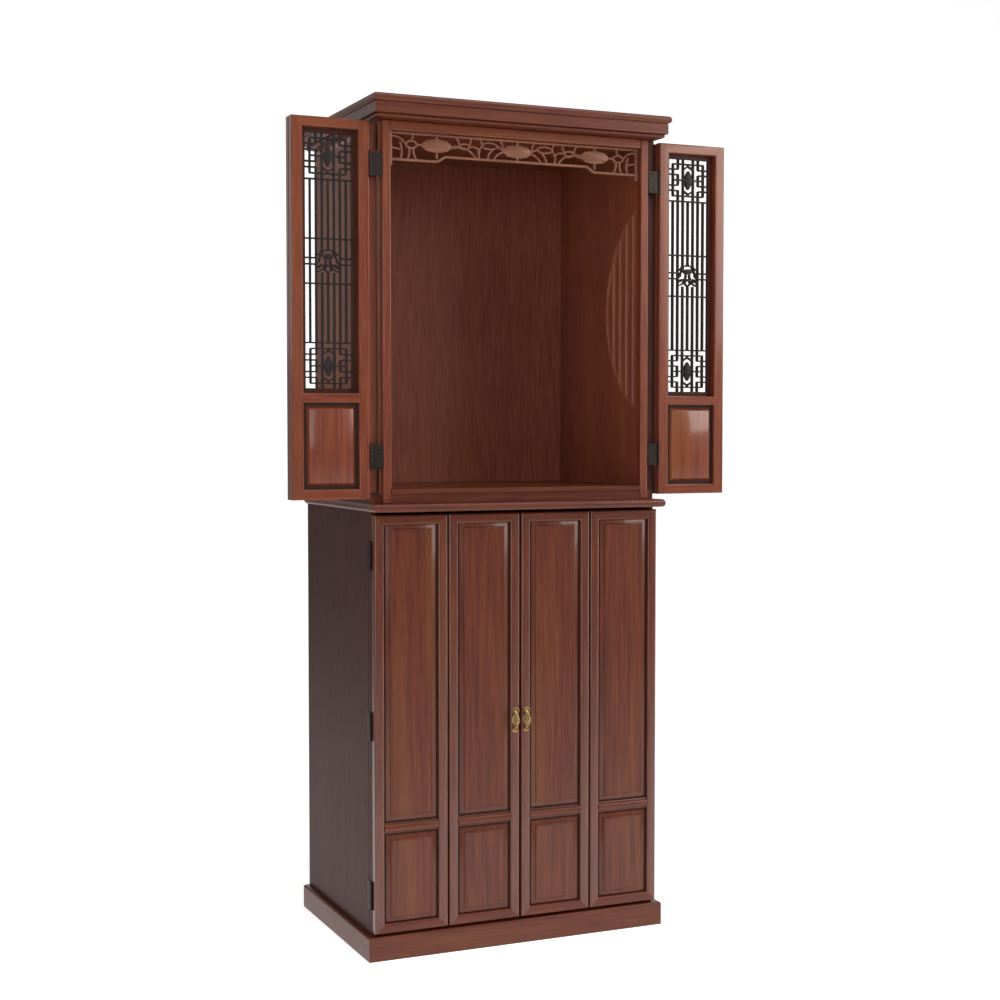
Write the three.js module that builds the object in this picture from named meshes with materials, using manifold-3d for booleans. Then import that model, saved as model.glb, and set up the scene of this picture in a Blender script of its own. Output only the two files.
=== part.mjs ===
// Household altar cabinet with an open niche above and a closed cupboard below.
// Millimetres, +Z up, front towards -Y, origin at the middle of the underside.
// The upper leaves stand folded and open beside the niche, the lower leaves are closed.
import * as THREE from "three";
import { mergeVertices } from "three/addons/utils/BufferGeometryUtils.js";
import Module from "manifold-3d";

const wasm = await Module();
wasm.setup();

// Overall sizes.
const cabinetWidth = 810;
const cabinetDepth = 536;
const cabinetHeight = 2097;
const jointGap = 0.3;
const boardThickness = 19;

// Plinth and lower cupboard.
const plinthHeight = 60;
const plinthWall = 36;
const plinthEdgeRadius = 6;
const plinthOverhang = 16;
const lowerDoorLift = 6;
const lowerDoorHeight = 1026;
const lowerLeafThickness = 22;
const lowerDoorBackGap = 2.5;
const lowerFoldGap = 2.5;
const centreGap = 4;
const lowerStile = 25;
const lowerTopRail = 18;
const lowerMidRail = 26;
const lowerBottomRail = 22;
const lowerPanelHeight = 224;
const lowerFieldInset = 19;
const lowerFieldSetback = 2;
const lowerRimDepth = 6.5;
const midRailBeadHeight = 18;
const midRailBeadDepth = 3.6;
const midRailBeadSetback = 1;
const lowerDoorSideInset = 0.5;
const rearSetback = 2;
const lowerBackThickness = 10;
const lowerBackInset = 12;
const sideGrooveOffset = 20;
const sideGrooveSize = 3;

// Waist board between the two halves.
const waistDoorGap = 7;
const waistThickness = 20;
const waistFrontReach = 28;
const waistSideReach = 9.5;
const waistEdgeRadius = 7;

// Niche. Its side walls stand a little proud of the stiles.
const nicheSideInset = 26.4;
const nicheSideThickness = 24;
const nicheSideOutset = 5;
const postDepth = 20;
const nicheFrontSetback = 6;
const stileWidth = 21;
const stileThickness = 18;
const stileEdge = 2;
const baseBoardHeight = 23;
const baseBoardSideInset = 1;
const baseRailSetback = 2;
const nicheFloorThickness = 12;
const nicheFloorLip = 3;
const headerHeight = 23;
const headerSetback = 2;
const ceilingThickness = 19;
const nicheInnerDepth = 458;
const nicheBackThickness = 12;
const nicheRearSetback = 6;

// Half-moon of reeds carved into each side wall of the niche.
const moonRadius = 284;
const moonCentreInFront = 105;
const moonCentreHeight = 454;
const reedPitch = 36;
const reedGrooveWidth = 24;
const reedGrooveDepth = 6;
const reedTaperLength = 10;
const reedTipShare = 0.25;

// Cornice.
const corniceHeight = 54;
const corniceRollHeight = 9;
const corniceBeadHeight = 18;
const corniceSideReach = 33.4;
const corniceFrontReach = 45;
const corniceBeadReach = 7;
const corniceRollInset = 7;
const corniceRollBulge = 3;
const corniceWall = 24;
const corniceFootWall = 12;
const cornicePanelThickness = 9;
const cornicePanelRest = 8;

// Upper folding leaves.
const upperCentreGap = 7.4;
const upperLeafThickness = 23;
const upperLeafBottomGap = 12;
const upperLeafTopGap = 5;
const leafEdge = 3;
const axisOutset = 31.9;
const axisToEdge = 1.8;
const axisToFace = 1;
const foldGap = 2;
const upperStile = 27;
const upperTopRail = 24;
const upperMidRail = 23;
const upperBottomRail = 25;
const upperPanelHeight = 207;
const upperFieldInset = 16;
const upperRimDepth = 5.5;
const upperHingeLength = 66;
const upperHingeInset = 70;
const upperHingeRadius = 3;
const upperHingeTipLength = 5;
const upperHingeTipRadius = 1.5;
const upperHingePlateSetback = 0.5;
const upperHingePlateThickness = 2.5;

// Lattice grilles.
const slatWidth = 3.6;
const slatThickness = 4;
const latticeColumns = 8;
const columnPitch = 15;
const latticeFaceInset = 0.5;
const blockHeight = 110.3;
const middleBlockHeight = 106.6;
const almondLength = 50;
const almondWidth = 20;
const petalLength = 34;
const petalWidth = 13;
const petalSpread = 50;
const lotusWaist = 8.5;
const lotusFootLength = 19;
const lotusFootLap = 4;
const lotusTopReach = 8;
const lotusBottomReach = 15;

// Meeting strip of the left pair and its bolts.
const stripLap = 25;
const stripThickness = 6;
const stripBodyWidth = 7.2;
const stripFaceGap = 1;
const stripEdge = 3;
const stripLift = 15;
const stripTopDrop = 2;
const boltLength = 62;
const boltThickness = 2;
const boltInset = 3;

// Fretwork valance. Along a bay and down its clear height, places are shares.
const fretworkDrop = 70;
const fretworkEndDrop = 82;
const fretworkMiddleDrop = 57;
const fretworkThickness = 8;
const fretworkSetback = 15;
const fretworkBorder = 6;
const fretworkEndWidth = 9;
const fretworkStepStart = 218;
const fretworkStepEnd = 190;
const medallionSpacing = 216;
const medallionHalfWidth = 40;
const medallionHalfHeight = 16;
const medallionDrop = 29;
const stemWidth = 4.5;
const stepSides = 4;
const ringSides = 6;
const bayRings = [
  { along: 0.26, down: 0.31, halfLength: 0.165, halfHeight: 0.22 },
  { along: 0.76, down: 0.44, halfLength: 0.105, halfHeight: 0.2 },
];
const bayStems = [
  { from: [0, 0.5], to: [0.11, 0.31], bow: 0 },
  { from: [0, 0.45], to: [0.05, -0.05], bow: 0 },
  { from: [0, 0.6], to: [0.18, 1.05], bow: 0 },
  { from: [0.41, 0.31], to: [0.46, -0.05], bow: 0 },
  { from: [0.41, 0.31], to: [0.46, 1.05], bow: 0.15 },
  { from: [0.45, 0.66], to: [0.67, 0.46], bow: 0.2 },
  { from: [0.63, -0.05], to: [0.68, 0.42], bow: 0 },
  { from: [0.53, 1.05], to: [1, 0.6], bow: 0.2 },
  { from: [0.85, 0.44], to: [1, 0.5], bow: 0 },
  { from: [0.85, 0.44], to: [0.93, -0.05], bow: 0 },
];
const endRings = [{ along: 0.35, down: 0.4, halfLength: 0.21, halfHeight: 0.19 }];
const endStems = [
  { from: [0, 0.4], to: [0.16, 0.4], bow: 0 },
  { from: [0.35, 0.24], to: [0.3, -0.05], bow: 0 },
  { from: [0.28, 0.56], to: [0.16, 1.05], bow: 0 },
  { from: [0.42, 0.56], to: [0.5, 1.05], bow: 0 },
  { from: [0.54, 0.4], to: [1.05, 0.1], bow: 0.15 },
  { from: [0.74, 0.32], to: [0.72, 1.05], bow: 0 },
  { from: [0.73, 0.66], to: [1.05, 0.6], bow: 0 },
];

// Door pulls and hinges.
const pullHeight = 64;
const pullWidth = 20;
const pullPlateThickness = 2.5;
const pullReach = 20;
const pullBarThickness = 5;
const pullLift = 504;
const pullEdgeInset = 13.5;
const pullLobeShare = 0.38;
const pullBowShare = 0.8;
const pullBarShare = 0.45;
const hingeTopInset = 100;
const hingeBottomInset = 92;
const knuckleSides = 8;
const hingeLength = 70;
const hingeRadius = 3;
const hingeOutset = 3.5;
const hingeSetback = 1;
const hingePlateDepth = 26;
const hingePlateThickness = 2;

// Places worked out from the sizes above. Depths are measured from the lower doors' front.
const corniceFrontEdge = corniceFrontReach - nicheFrontSetback + corniceBeadReach;
const frontPlane = -(cabinetDepth - corniceFrontEdge) / 2;
const bodyHalf = cabinetWidth / 2 - plinthOverhang;
const lowerDoorHalf = bodyHalf - lowerDoorSideInset;
const carcassFront = lowerLeafThickness + lowerDoorBackGap;
const rearPlane = cabinetDepth - rearSetback;
const lowerDoorBottom = plinthHeight + lowerDoorLift;
const lowerDoorTop = lowerDoorBottom + lowerDoorHeight;
const waistBottom = lowerDoorTop + waistDoorGap;
const waistTop = waistBottom + waistThickness;
const nicheHalf = bodyHalf - nicheSideInset;
const nicheOpeningHalf = nicheHalf - stileWidth;
const nicheWallOuter = nicheHalf + nicheSideOutset;
const nicheWallInner = nicheWallOuter - nicheSideThickness;
const baseBoardHalfLength = bodyHalf - baseBoardSideInset;
const baseBoardTop = waistTop + baseBoardHeight;
const nicheFloorTop = baseBoardTop + nicheFloorThickness;
const corniceBottom = cabinetHeight - corniceHeight;
const headerBottom = corniceBottom - headerHeight;
const stileBack = nicheFrontSetback + stileThickness;
const nicheBackFace = stileBack + nicheInnerDepth;
const nicheRear = rearPlane - nicheRearSetback;
const upperLeafBottom = waistTop + upperLeafBottomGap;
const upperLeafTop = corniceBottom - upperLeafTopGap;
const upperLeafHeight = upperLeafTop - upperLeafBottom;
const axisX = nicheHalf + axisOutset;
const axisY = nicheFrontSetback - axisToFace;
const leafHingeEdge = axisX + axisToEdge;
const upperLeafWidth = (2 * (axisX - axisToEdge) - 2 * foldGap - upperCentreGap) / 4;
const leafFoldEdge = leafHingeEdge + upperLeafWidth;
const outerLeafBack = nicheFrontSetback + upperLeafThickness;
const innerLeafFront = outerLeafBack + foldGap;
const lowerLeafWidth = (2 * lowerDoorHalf - centreGap - 2 * lowerFoldGap) / 4;

const walnut = { color: 0x7a4030, roughness: 0.42, metalness: 0 };
const walnutLight = { color: 0x8a4c38, roughness: 0.4, metalness: 0 };
const walnutDark = { color: 0x5c3528, roughness: 0.5, metalness: 0 };
const fretBrown = { color: 0x9a6a52, roughness: 0.5, metalness: 0 };
const latticeBrown = { color: 0x2c1a15, roughness: 0.5, metalness: 0 };
const steel = { color: 0x8d8a86, roughness: 0.35, metalness: 1 };
const brass = { color: 0xb49a72, roughness: 0.38, metalness: 1 };

const cabinet = new THREE.Group();

// Adds one named piece with a material of its own.
function addPiece(parent, name, geometry, finish) {
  const piece = new THREE.Mesh(geometry, new THREE.MeshStandardMaterial(finish));
  piece.name = name;
  parent.add(piece);
  return piece;
}

// Turns a closed geometry into a solid for joins and cuts.
function solidFrom(geometry) {
  const bare = geometry.index ? geometry.toNonIndexed() : geometry.clone();
  bare.deleteAttribute("normal");
  bare.deleteAttribute("uv");
  const merged = mergeVertices(bare, 1e-4);
  return new wasm.Manifold(
    new wasm.Mesh({
      numProp: 3,
      vertProperties: merged.attributes.position.array,
      triVerts: new Uint32Array(merged.index.array),
    }),
  );
}

// Turns a solid back into a geometry.
function geometryFrom(solid) {
  const mesh = solid.getMesh();
  const geometry = new THREE.BufferGeometry();
  const points = new Float32Array(mesh.numVert * 3);
  for (let i = 0; i < mesh.numVert; i++) {
    points.set(mesh.vertProperties.subarray(i * mesh.numProp, i * mesh.numProp + 3), i * 3);
  }
  geometry.setAttribute("position", new THREE.BufferAttribute(points, 3));
  geometry.setIndex(new THREE.BufferAttribute(new Uint32Array(mesh.triVerts), 1));
  geometry.computeVertexNormals();
  return geometry;
}

function joinAll(geometries) {
  return geometries.map(solidFrom).reduce((whole, piece) => whole.add(piece));
}

// A board between two opposite corners, with depths measured from the front plane.
function board(x0, x1, y0, y1, z0, z1) {
  const geometry = new THREE.BoxGeometry(x1 - x0, y1 - y0, z1 - z0);
  geometry.translate((x0 + x1) / 2, frontPlane + (y0 + y1) / 2, (z0 + z1) / 2);
  return geometry;
}

// Triangles for rings of corners: each ring is joined to the next, and the ends are capped or joined.
function ringsToGeometry(rings, closed) {
  const sides = rings[0].length;
  const points = rings.flat(2);
  const faces = [];
  const last = closed ? rings.length : rings.length - 1;
  for (let r = 0; r < last; r++) {
    const next = (r + 1) % rings.length;
    for (let k = 0; k < sides; k++) {
      const a = r * sides + k;
      const b = r * sides + ((k + 1) % sides);
      const c = next * sides + ((k + 1) % sides);
      const d = next * sides + k;
      faces.push(a, b, c, a, c, d);
    }
  }
  if (!closed) {
    const top = (rings.length - 1) * sides;
    for (let k = 1; k < sides - 1; k++) {
      faces.push(0, k + 1, k);
      faces.push(top, top + k, top + k + 1);
    }
  }
  const geometry = new THREE.BufferGeometry();
  geometry.setAttribute("position", new THREE.Float32BufferAttribute(points, 3));
  geometry.setIndex(faces);
  geometry.computeVertexNormals();
  return geometry;
}

// A rectangle at one height, its corners anticlockwise seen from above.
function rectangleRing(x0, x1, y0, y1, z) {
  return [
    [x0, y0, z],
    [x1, y0, z],
    [x1, y1, z],
    [x0, y1, z],
  ];
}

// A board with a moulded edge at the front and sides: levels are [reach, height] from below.
function mouldedBoard(half, front, rear, levels) {
  const rings = levels.map(([reach, z]) =>
    rectangleRing(-half - reach, half + reach, frontPlane + front - reach, frontPlane + rear, z),
  );
  return ringsToGeometry(rings, false);
}

// A frame of mouldings with a flat rear: outer levels go up, inner levels come down.
function mouldedFrame(half, front, rear, outer, inner) {
  const outerRings = outer.map(([reach, z]) =>
    rectangleRing(-half - reach, half + reach, frontPlane + front - reach, frontPlane + rear, z),
  );
  const innerRings = inner.map(([wall, z]) =>
    rectangleRing(-half + wall, half - wall, frontPlane + front + wall, frontPlane + rear - wall, z),
  );
  return ringsToGeometry([...outerRings, ...innerRings], true);
}

// Stands a flat outline up in the front plane: the outline's y becomes z, its depth runs forward.
function standUp(geometry, backDepth) {
  geometry.rotateX(Math.PI / 2);
  geometry.translate(0, backDepth, 0);
  return geometry;
}

function rectanglePath(path, x0, x1, z0, z1) {
  path.moveTo(x0, z0);
  path.lineTo(x1, z0);
  path.lineTo(x1, z1);
  path.lineTo(x0, z1);
  path.closePath();
  return path;
}

// A flat outline of given thickness, standing, from depth y0 to y0 + thickness.
function standingPlate(shape, y0, thickness, edge = 0) {
  const geometry = new THREE.ExtrudeGeometry(shape, {
    depth: thickness - 2 * edge,
    bevelEnabled: edge > 0,
    bevelThickness: edge,
    bevelSize: edge,
    bevelOffset: -edge,
    bevelSegments: 1,
    curveSegments: 6,
  });
  geometry.translate(0, 0, edge);
  return standUp(geometry, y0 + thickness);
}

// A leaf frame: one outline with two rectangular openings and eased edges.
function leafFrame(width, height, thickness, openings, edge) {
  const shape = rectanglePath(new THREE.Shape(), 0, width, 0, height);
  openings.forEach(({ x0, x1, z0, z1 }) => {
    shape.holes.push(rectanglePath(new THREE.Path(), x0, x1, z0, z1));
  });
  return standingPlate(shape, 0, thickness, edge);
}

// A raised panel in an opening: a thin rim, a long bevel and a raised field, on one or both faces.
function raisedPanel({ x0, x1, z0, z1 }, y0, y1, fieldInset, rimDepth, bothFaces) {
  const step = 1.5;
  const rectangle = (inset, y) =>
    rectangleRing(
      x0 + jointGap + inset,
      x1 - jointGap - inset,
      z0 + jointGap + inset,
      z1 - jointGap - inset,
      -y,
    );
  const back = bothFaces
    ? [rectangle(fieldInset, y1), rectangle(fieldInset, y1 - step), rectangle(0, y1 - rimDepth)]
    : [rectangle(0, y1)];
  const front = [
    rectangle(0, y0 + rimDepth),
    rectangle(fieldInset, y0 + step),
    rectangle(fieldInset, y0),
  ];
  return standUp(ringsToGeometry([...back, ...front], false), 0);
}

// Plinth: a moulded frame, open below, with its front in the plane of the lower doors.
const plinthBase = cabinetWidth / 2;
addPiece(
  cabinet,
  "plinth",
  mouldedFrame(
    plinthBase,
    0,
    cabinetDepth,
    [
      [0, 0],
      [0, plinthHeight - plinthEdgeRadius],
      [-plinthEdgeRadius * 0.3, plinthHeight - plinthEdgeRadius * 0.3],
      [-plinthEdgeRadius, plinthHeight],
    ],
    [
      [plinthWall, plinthHeight],
      [plinthWall, 0],
    ],
  ),
  walnut,
);

// Lower cupboard.
const lowerSideInner = bodyHalf - boardThickness;
const lowerBackFace = rearPlane - lowerBackInset - lowerBackThickness;
const lowerFloorTop = plinthHeight + jointGap + boardThickness;
for (const [side, sign] of [
  ["left", -1],
  ["right", 1],
]) {
  const x0 = sign < 0 ? -bodyHalf : lowerSideInner;
  const wall = solidFrom(
    board(
      x0,
      x0 + boardThickness,
      carcassFront,
      rearPlane,
      plinthHeight + jointGap,
      waistBottom - jointGap,
    ),
  );
  const groove = new THREE.BoxGeometry(sideGrooveSize, sideGrooveSize, waistBottom * 2);
  groove.rotateZ(Math.PI / 4);
  groove.translate(sign * bodyHalf, frontPlane + carcassFront + sideGrooveOffset, 0);
  addPiece(
    cabinet,
    "lower_" + side + "_side",
    geometryFrom(wall.subtract(solidFrom(groove))),
    walnutDark,
  );
}
addPiece(
  cabinet,
  "lower_floor",
  board(
    -lowerSideInner + jointGap,
    lowerSideInner - jointGap,
    carcassFront,
    lowerBackFace - jointGap,
    plinthHeight + jointGap,
    lowerFloorTop,
  ),
  walnutDark,
);
addPiece(
  cabinet,
  "lower_back",
  board(
    -lowerSideInner + jointGap,
    lowerSideInner - jointGap,
    lowerBackFace,
    lowerBackFace + lowerBackThickness,
    plinthHeight + jointGap,
    waistBottom - jointGap,
  ),
  walnutDark,
);

// Waist board with a rounded edge.
const waistHalf = bodyHalf + waistSideReach - waistEdgeRadius;
const waistRound = [0, 30, 65, 90, 115, 150, 180].map((degrees) => {
  const angle = THREE.MathUtils.degToRad(degrees);
  return [
    waistEdgeRadius * Math.sin(angle),
    waistBottom + (waistThickness / 2) * (1 - Math.cos(angle)),
  ];
});
addPiece(
  cabinet,
  "waist_board",
  mouldedBoard(waistHalf, -waistFrontReach + waistEdgeRadius, rearPlane, waistRound),
  walnut,
);

// Base board of the niche: wide behind the stiles, narrow between them.
const baseShape = new THREE.Shape();
const baseRailFront = -(nicheFrontSetback + baseRailSetback);
const baseWideFront = -(stileBack + jointGap);
baseShape.moveTo(-nicheOpeningHalf + jointGap, baseRailFront);
baseShape.lineTo(-nicheOpeningHalf + jointGap, baseWideFront);
baseShape.lineTo(-baseBoardHalfLength, baseWideFront);
baseShape.lineTo(-baseBoardHalfLength, -nicheRear);
baseShape.lineTo(baseBoardHalfLength, -nicheRear);
baseShape.lineTo(baseBoardHalfLength, baseWideFront);
baseShape.lineTo(nicheOpeningHalf - jointGap, baseWideFront);
baseShape.lineTo(nicheOpeningHalf - jointGap, baseRailFront);
baseShape.closePath();
const baseBoard = new THREE.ExtrudeGeometry(baseShape, {
  depth: baseBoardHeight - jointGap,
  bevelEnabled: false,
});
baseBoard.rotateX(Math.PI);
baseBoard.translate(0, frontPlane, baseBoardTop);
addPiece(cabinet, "base_board", baseBoard, walnut);

// Niche floor with a lip in front of the base board.
addPiece(
  cabinet,
  "niche_floor",
  board(
    -nicheOpeningHalf + jointGap,
    nicheOpeningHalf - jointGap,
    nicheFrontSetback + baseRailSetback - nicheFloorLip,
    nicheBackFace - jointGap,
    baseBoardTop + jointGap,
    nicheFloorTop,
  ),
  walnut,
);

// Side walls of the niche, each with a half-moon of vertical reeds on its inner face.
// There are as many grooves as fit whole inside the circle.
const ceilingBottom = corniceBottom - jointGap - ceilingThickness;
const reedCount = Math.floor(
  (moonRadius - moonCentreInFront - reedGrooveWidth / 2) / reedPitch + 0.5,
);
const cutPast = 1;
for (const [side, sign] of [
  ["left", -1],
  ["right", 1],
]) {
  const x0 = sign < 0 ? -nicheWallOuter : nicheWallInner;
  let wall = solidFrom(
    board(
      x0,
      x0 + nicheSideThickness,
      stileBack + jointGap,
      nicheRear,
      baseBoardTop + jointGap,
      ceilingBottom - jointGap,
    ),
  );
  for (let i = 0; i < reedCount; i++) {
    const depth = stileBack + reedPitch * (i + 0.5);
    const fromCentre = depth - stileBack + moonCentreInFront;
    const halfLength = Math.sqrt(moonRadius ** 2 - fromCentre ** 2);
    const nearCentre = fromCentre - reedGrooveWidth / 2;
    const tipLength = Math.sqrt(moonRadius ** 2 - nearCentre ** 2) - halfLength;
    const middle = nicheFloorTop + moonCentreHeight;
    const ring = (z, scale) => [
      [sign * (nicheWallInner - cutPast), frontPlane + depth - (reedGrooveWidth / 2) * scale, z],
      [sign * (nicheWallInner + reedGrooveDepth * scale), frontPlane + depth, z],
      [sign * (nicheWallInner - cutPast), frontPlane + depth + (reedGrooveWidth / 2) * scale, z],
    ];
    const rings = [
      ring(middle - halfLength - tipLength, reedTipShare),
      ring(middle - halfLength + reedTaperLength, 1),
      ring(middle + halfLength - reedTaperLength, 1),
      ring(middle + halfLength + tipLength, reedTipShare),
    ];
    if (sign < 0) {
      rings.reverse();
    }
    wall = wall.subtract(solidFrom(ringsToGeometry(rings, false)));
  }
  addPiece(cabinet, "niche_" + side + "_side", geometryFrom(wall), walnut);
}
addPiece(
  cabinet,
  "niche_back",
  board(
    -nicheWallInner + jointGap,
    nicheWallInner - jointGap,
    nicheBackFace,
    nicheBackFace + nicheBackThickness,
    baseBoardTop + jointGap,
    ceilingBottom - jointGap,
  ),
  walnut,
);
addPiece(
  cabinet,
  "niche_ceiling",
  board(
    -nicheWallOuter,
    nicheWallOuter,
    stileBack + jointGap,
    nicheRear,
    ceilingBottom,
    corniceBottom - jointGap,
  ),
  walnutDark,
);

// Post outside the right wall, which closes the gap beside the folded leaves.
// The left wall has none, because the meeting strip of the left leaves needs the room.
addPiece(
  cabinet,
  "right_post",
  board(
    nicheWallOuter + jointGap,
    baseBoardHalfLength,
    stileBack + jointGap,
    stileBack + jointGap + postDepth,
    baseBoardTop + jointGap,
    corniceBottom - jointGap,
  ),
  walnut,
);

// Face frame of the niche.
for (const [side, sign] of [
  ["left", -1],
  ["right", 1],
]) {
  const inner = sign * nicheOpeningHalf;
  const outer = sign * nicheHalf;
  const shape = rectanglePath(
    new THREE.Shape(),
    Math.min(inner, outer),
    Math.max(inner, outer),
    waistTop + jointGap,
    corniceBottom - jointGap,
  );
  addPiece(
    cabinet,
    side + "_stile",
    standingPlate(shape, frontPlane + nicheFrontSetback, stileThickness, stileEdge),
    walnutLight,
  );
}
addPiece(
  cabinet,
  "header_rail",
  board(
    -nicheOpeningHalf + jointGap,
    nicheOpeningHalf - jointGap,
    nicheFrontSetback + headerSetback,
    stileBack,
    headerBottom,
    corniceBottom - jointGap,
  ),
  walnutLight,
);

// Fretwork valance: a border that steps down towards both ends, three oval medallions,
// and between them rings held by thin stems. Each side is the other's mirror image.
const fretworkTop = headerBottom - jointGap;
const fretworkFront = nicheFrontSetback + fretworkSetback;
const fretworkHalf = nicheOpeningHalf - jointGap;

// A band of constant width along a row of points, as a standing plate.
function bandAlong(points, width, y0, thickness) {
  const left = [];
  const right = [];
  points.forEach(([x, z], i) => {
    const before = points[Math.max(i - 1, 0)];
    const after = points[Math.min(i + 1, points.length - 1)];
    const side = new THREE.Vector2(before[1] - after[1], after[0] - before[0]).setLength(width / 2);
    left.push(new THREE.Vector2(x + side.x, z + side.y));
    right.unshift(new THREE.Vector2(x - side.x, z - side.y));
  });
  return standingPlate(new THREE.Shape([...left, ...right]), y0, thickness);
}

// Points of a stem: straight, or an arc that bows sideways by a share of its length.
function stemPoints([x0, z0], [x1, z1], bow) {
  const bend = [(x0 + x1) / 2 - (z1 - z0) * 2 * bow, (z0 + z1) / 2 + (x1 - x0) * 2 * bow];
  const curve = new THREE.QuadraticBezierCurve(
    new THREE.Vector2(x0, z0),
    new THREE.Vector2(...bend),
    new THREE.Vector2(x1, z1),
  );
  return curve.getPoints(bow === 0 ? 1 : 2).map((point) => [point.x, point.y]);
}

function ovalPoints(x, z, halfWidth, halfHeight, sides) {
  return Array.from({ length: sides }, (_, i) => {
    const angle = (2 * Math.PI * i) / sides;
    return new THREE.Vector2(x + halfWidth * Math.cos(angle), z + halfHeight * Math.sin(angle));
  });
}

function fretworkGeometry() {
  const y0 = frontPlane + fretworkFront;
  const deep = fretworkThickness;
  const borderLine = fretworkBorder / 2;
  const lowEnd = fretworkTop - fretworkDrop + borderLine;
  const lowMiddle = fretworkTop - fretworkMiddleDrop + borderLine;
  const centre = fretworkTop - medallionDrop;
  const endInner = fretworkHalf - fretworkEndWidth;
  const plate = (x0, x1, z0, z1) =>
    standingPlate(rectanglePath(new THREE.Shape(), x0, x1, z0, z1), y0, deep);
  const medallion = (x) =>
    standingPlate(
      new THREE.Shape(
        ovalPoints(x, centre, medallionHalfWidth, medallionHalfHeight, 2 * ringSides),
      ),
      y0,
      deep,
    );

  // The lower border, from the middle to the end stile, with an S-shaped step.
  const lowerBorder = [[0, lowMiddle]];
  for (let i = 0; i <= stepSides; i++) {
    const share = i / stepSides;
    const ease = share * share * (3 - 2 * share);
    lowerBorder.push([
      fretworkStepEnd + (fretworkStepStart - fretworkStepEnd) * share,
      lowMiddle + (lowEnd - lowMiddle) * ease,
    ]);
  }
  lowerBorder.push([fretworkHalf, lowEnd]);
  const mirrored = lowerBorder
    .slice(1)
    .map(([x, z]) => [-x, z])
    .reverse();
  const pieces = [
    plate(-fretworkHalf, fretworkHalf, fretworkTop - fretworkBorder, fretworkTop),
    bandAlong([...mirrored, ...lowerBorder], fretworkBorder, y0, deep),
    bandAlong(
      [
        [0, fretworkTop - borderLine],
        [0, lowMiddle],
      ],
      stemWidth,
      y0,
      deep,
    ),
    medallion(0),
  ];

  // Rings and stems of a bay between two ends, at shares of its length and clear height.
  const addBay = (sign, x0, x1, low, rings, stems) => {
    const clearTop = fretworkTop - fretworkBorder;
    const clearHeight = clearTop - low - borderLine;
    const place = ([along, down]) => [
      sign * (x0 + (x1 - x0) * along),
      clearTop - clearHeight * down,
    ];
    for (const { along, down, halfLength, halfHeight } of rings) {
      const [x, z] = place([along, down]);
      const reach = halfLength * (x1 - x0);
      const rise = halfHeight * clearHeight;
      const ring = new THREE.Shape(ovalPoints(x, z, reach, rise, ringSides));
      ring.holes.push(
        new THREE.Path(ovalPoints(x, z, reach - stemWidth, rise - stemWidth, ringSides)),
      );
      pieces.push(standingPlate(ring, y0, deep));
    }
    for (const { from, to, bow } of stems) {
      pieces.push(
        bandAlong(stemPoints(place(from), place(to), sign * bow), stemWidth, y0, deep),
      );
    }
  };
  for (const sign of [-1, 1]) {
    const stileX = [sign * endInner, sign * fretworkHalf];
    const medallionX = sign * medallionSpacing;
    pieces.push(
      plate(Math.min(...stileX), Math.max(...stileX), fretworkTop - fretworkEndDrop, fretworkTop),
      medallion(medallionX),
      bandAlong(
        [
          [medallionX, fretworkTop - borderLine],
          [medallionX, (lowMiddle + lowEnd) / 2],
        ],
        stemWidth,
        y0,
        deep,
      ),
    );
    const bayStart = medallionHalfWidth;
    const bayEnd = medallionSpacing - medallionHalfWidth;
    const endStart = medallionSpacing + medallionHalfWidth;
    addBay(sign, bayStart, bayEnd, lowMiddle, bayRings, bayStems);
    addBay(sign, endStart, endInner, lowEnd, endRings, endStems);
  }
  return geometryFrom(joinAll(pieces));
}
addPiece(cabinet, "fretwork", fretworkGeometry(), fretBrown);

// Cornice: a small roll, a flat frieze and a rounded bead, as one mitred frame.
const corniceHalf = nicheHalf + corniceSideReach;
const corniceFront = -(corniceFrontReach - nicheFrontSetback);
const friezeBottom = corniceBottom + corniceRollHeight;
const beadBottom = cabinetHeight - corniceBeadHeight;
const corniceRollRoot = corniceRollInset + corniceRollBulge;
const beadRound = [0, 35, 65, 90, 115, 145, 180].map((degrees) => {
  const angle = THREE.MathUtils.degToRad(degrees);
  return [
    corniceBeadReach * Math.sin(angle),
    beadBottom + (corniceBeadHeight / 2) * (1 - Math.cos(angle)),
  ];
});
const rollRound = [0, 45, 90, 135].map((degrees) => {
  const angle = THREE.MathUtils.degToRad(degrees);
  return [
    corniceRollBulge * Math.sin(angle) - corniceRollRoot,
    corniceBottom + (corniceRollHeight / 2) * (1 - Math.cos(angle)),
  ];
});
const panelRestWall = corniceWall + cornicePanelRest;
addPiece(
  cabinet,
  "cornice",
  mouldedFrame(
    corniceHalf,
    corniceFront,
    rearPlane,
    [...rollRound, [-corniceRollRoot, friezeBottom], [0, friezeBottom], ...beadRound],
    [
      [corniceWall, cabinetHeight],
      [corniceWall, beadBottom],
      [panelRestWall, beadBottom],
      [panelRestWall, friezeBottom],
      [panelRestWall + corniceFootWall, corniceBottom],
    ],
  ),
  walnut,
);
addPiece(
  cabinet,
  "cornice_top_panel",
  board(
    -corniceHalf + corniceWall + jointGap,
    corniceHalf - corniceWall - jointGap,
    corniceFront + corniceWall + jointGap,
    rearPlane - corniceWall - jointGap,
    beadBottom + jointGap,
    beadBottom + jointGap + cornicePanelThickness,
  ),
  walnutDark,
);

// Lattice grille of an upper leaf, centred on x = 0 and z = 0, drawn once and used four times.
const upperOpeningWidth = upperLeafWidth - 2 * upperStile;
const upperOpeningBottom = upperBottomRail + upperPanelHeight + upperMidRail;
const latticeOpeningHeight = upperLeafHeight - upperTopRail - upperOpeningBottom;

function latticeBar(x0, x1, z0, z1) {
  return standingPlate(rectanglePath(new THREE.Shape(), x0, x1, z0, z1), 0, slatThickness);
}

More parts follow.
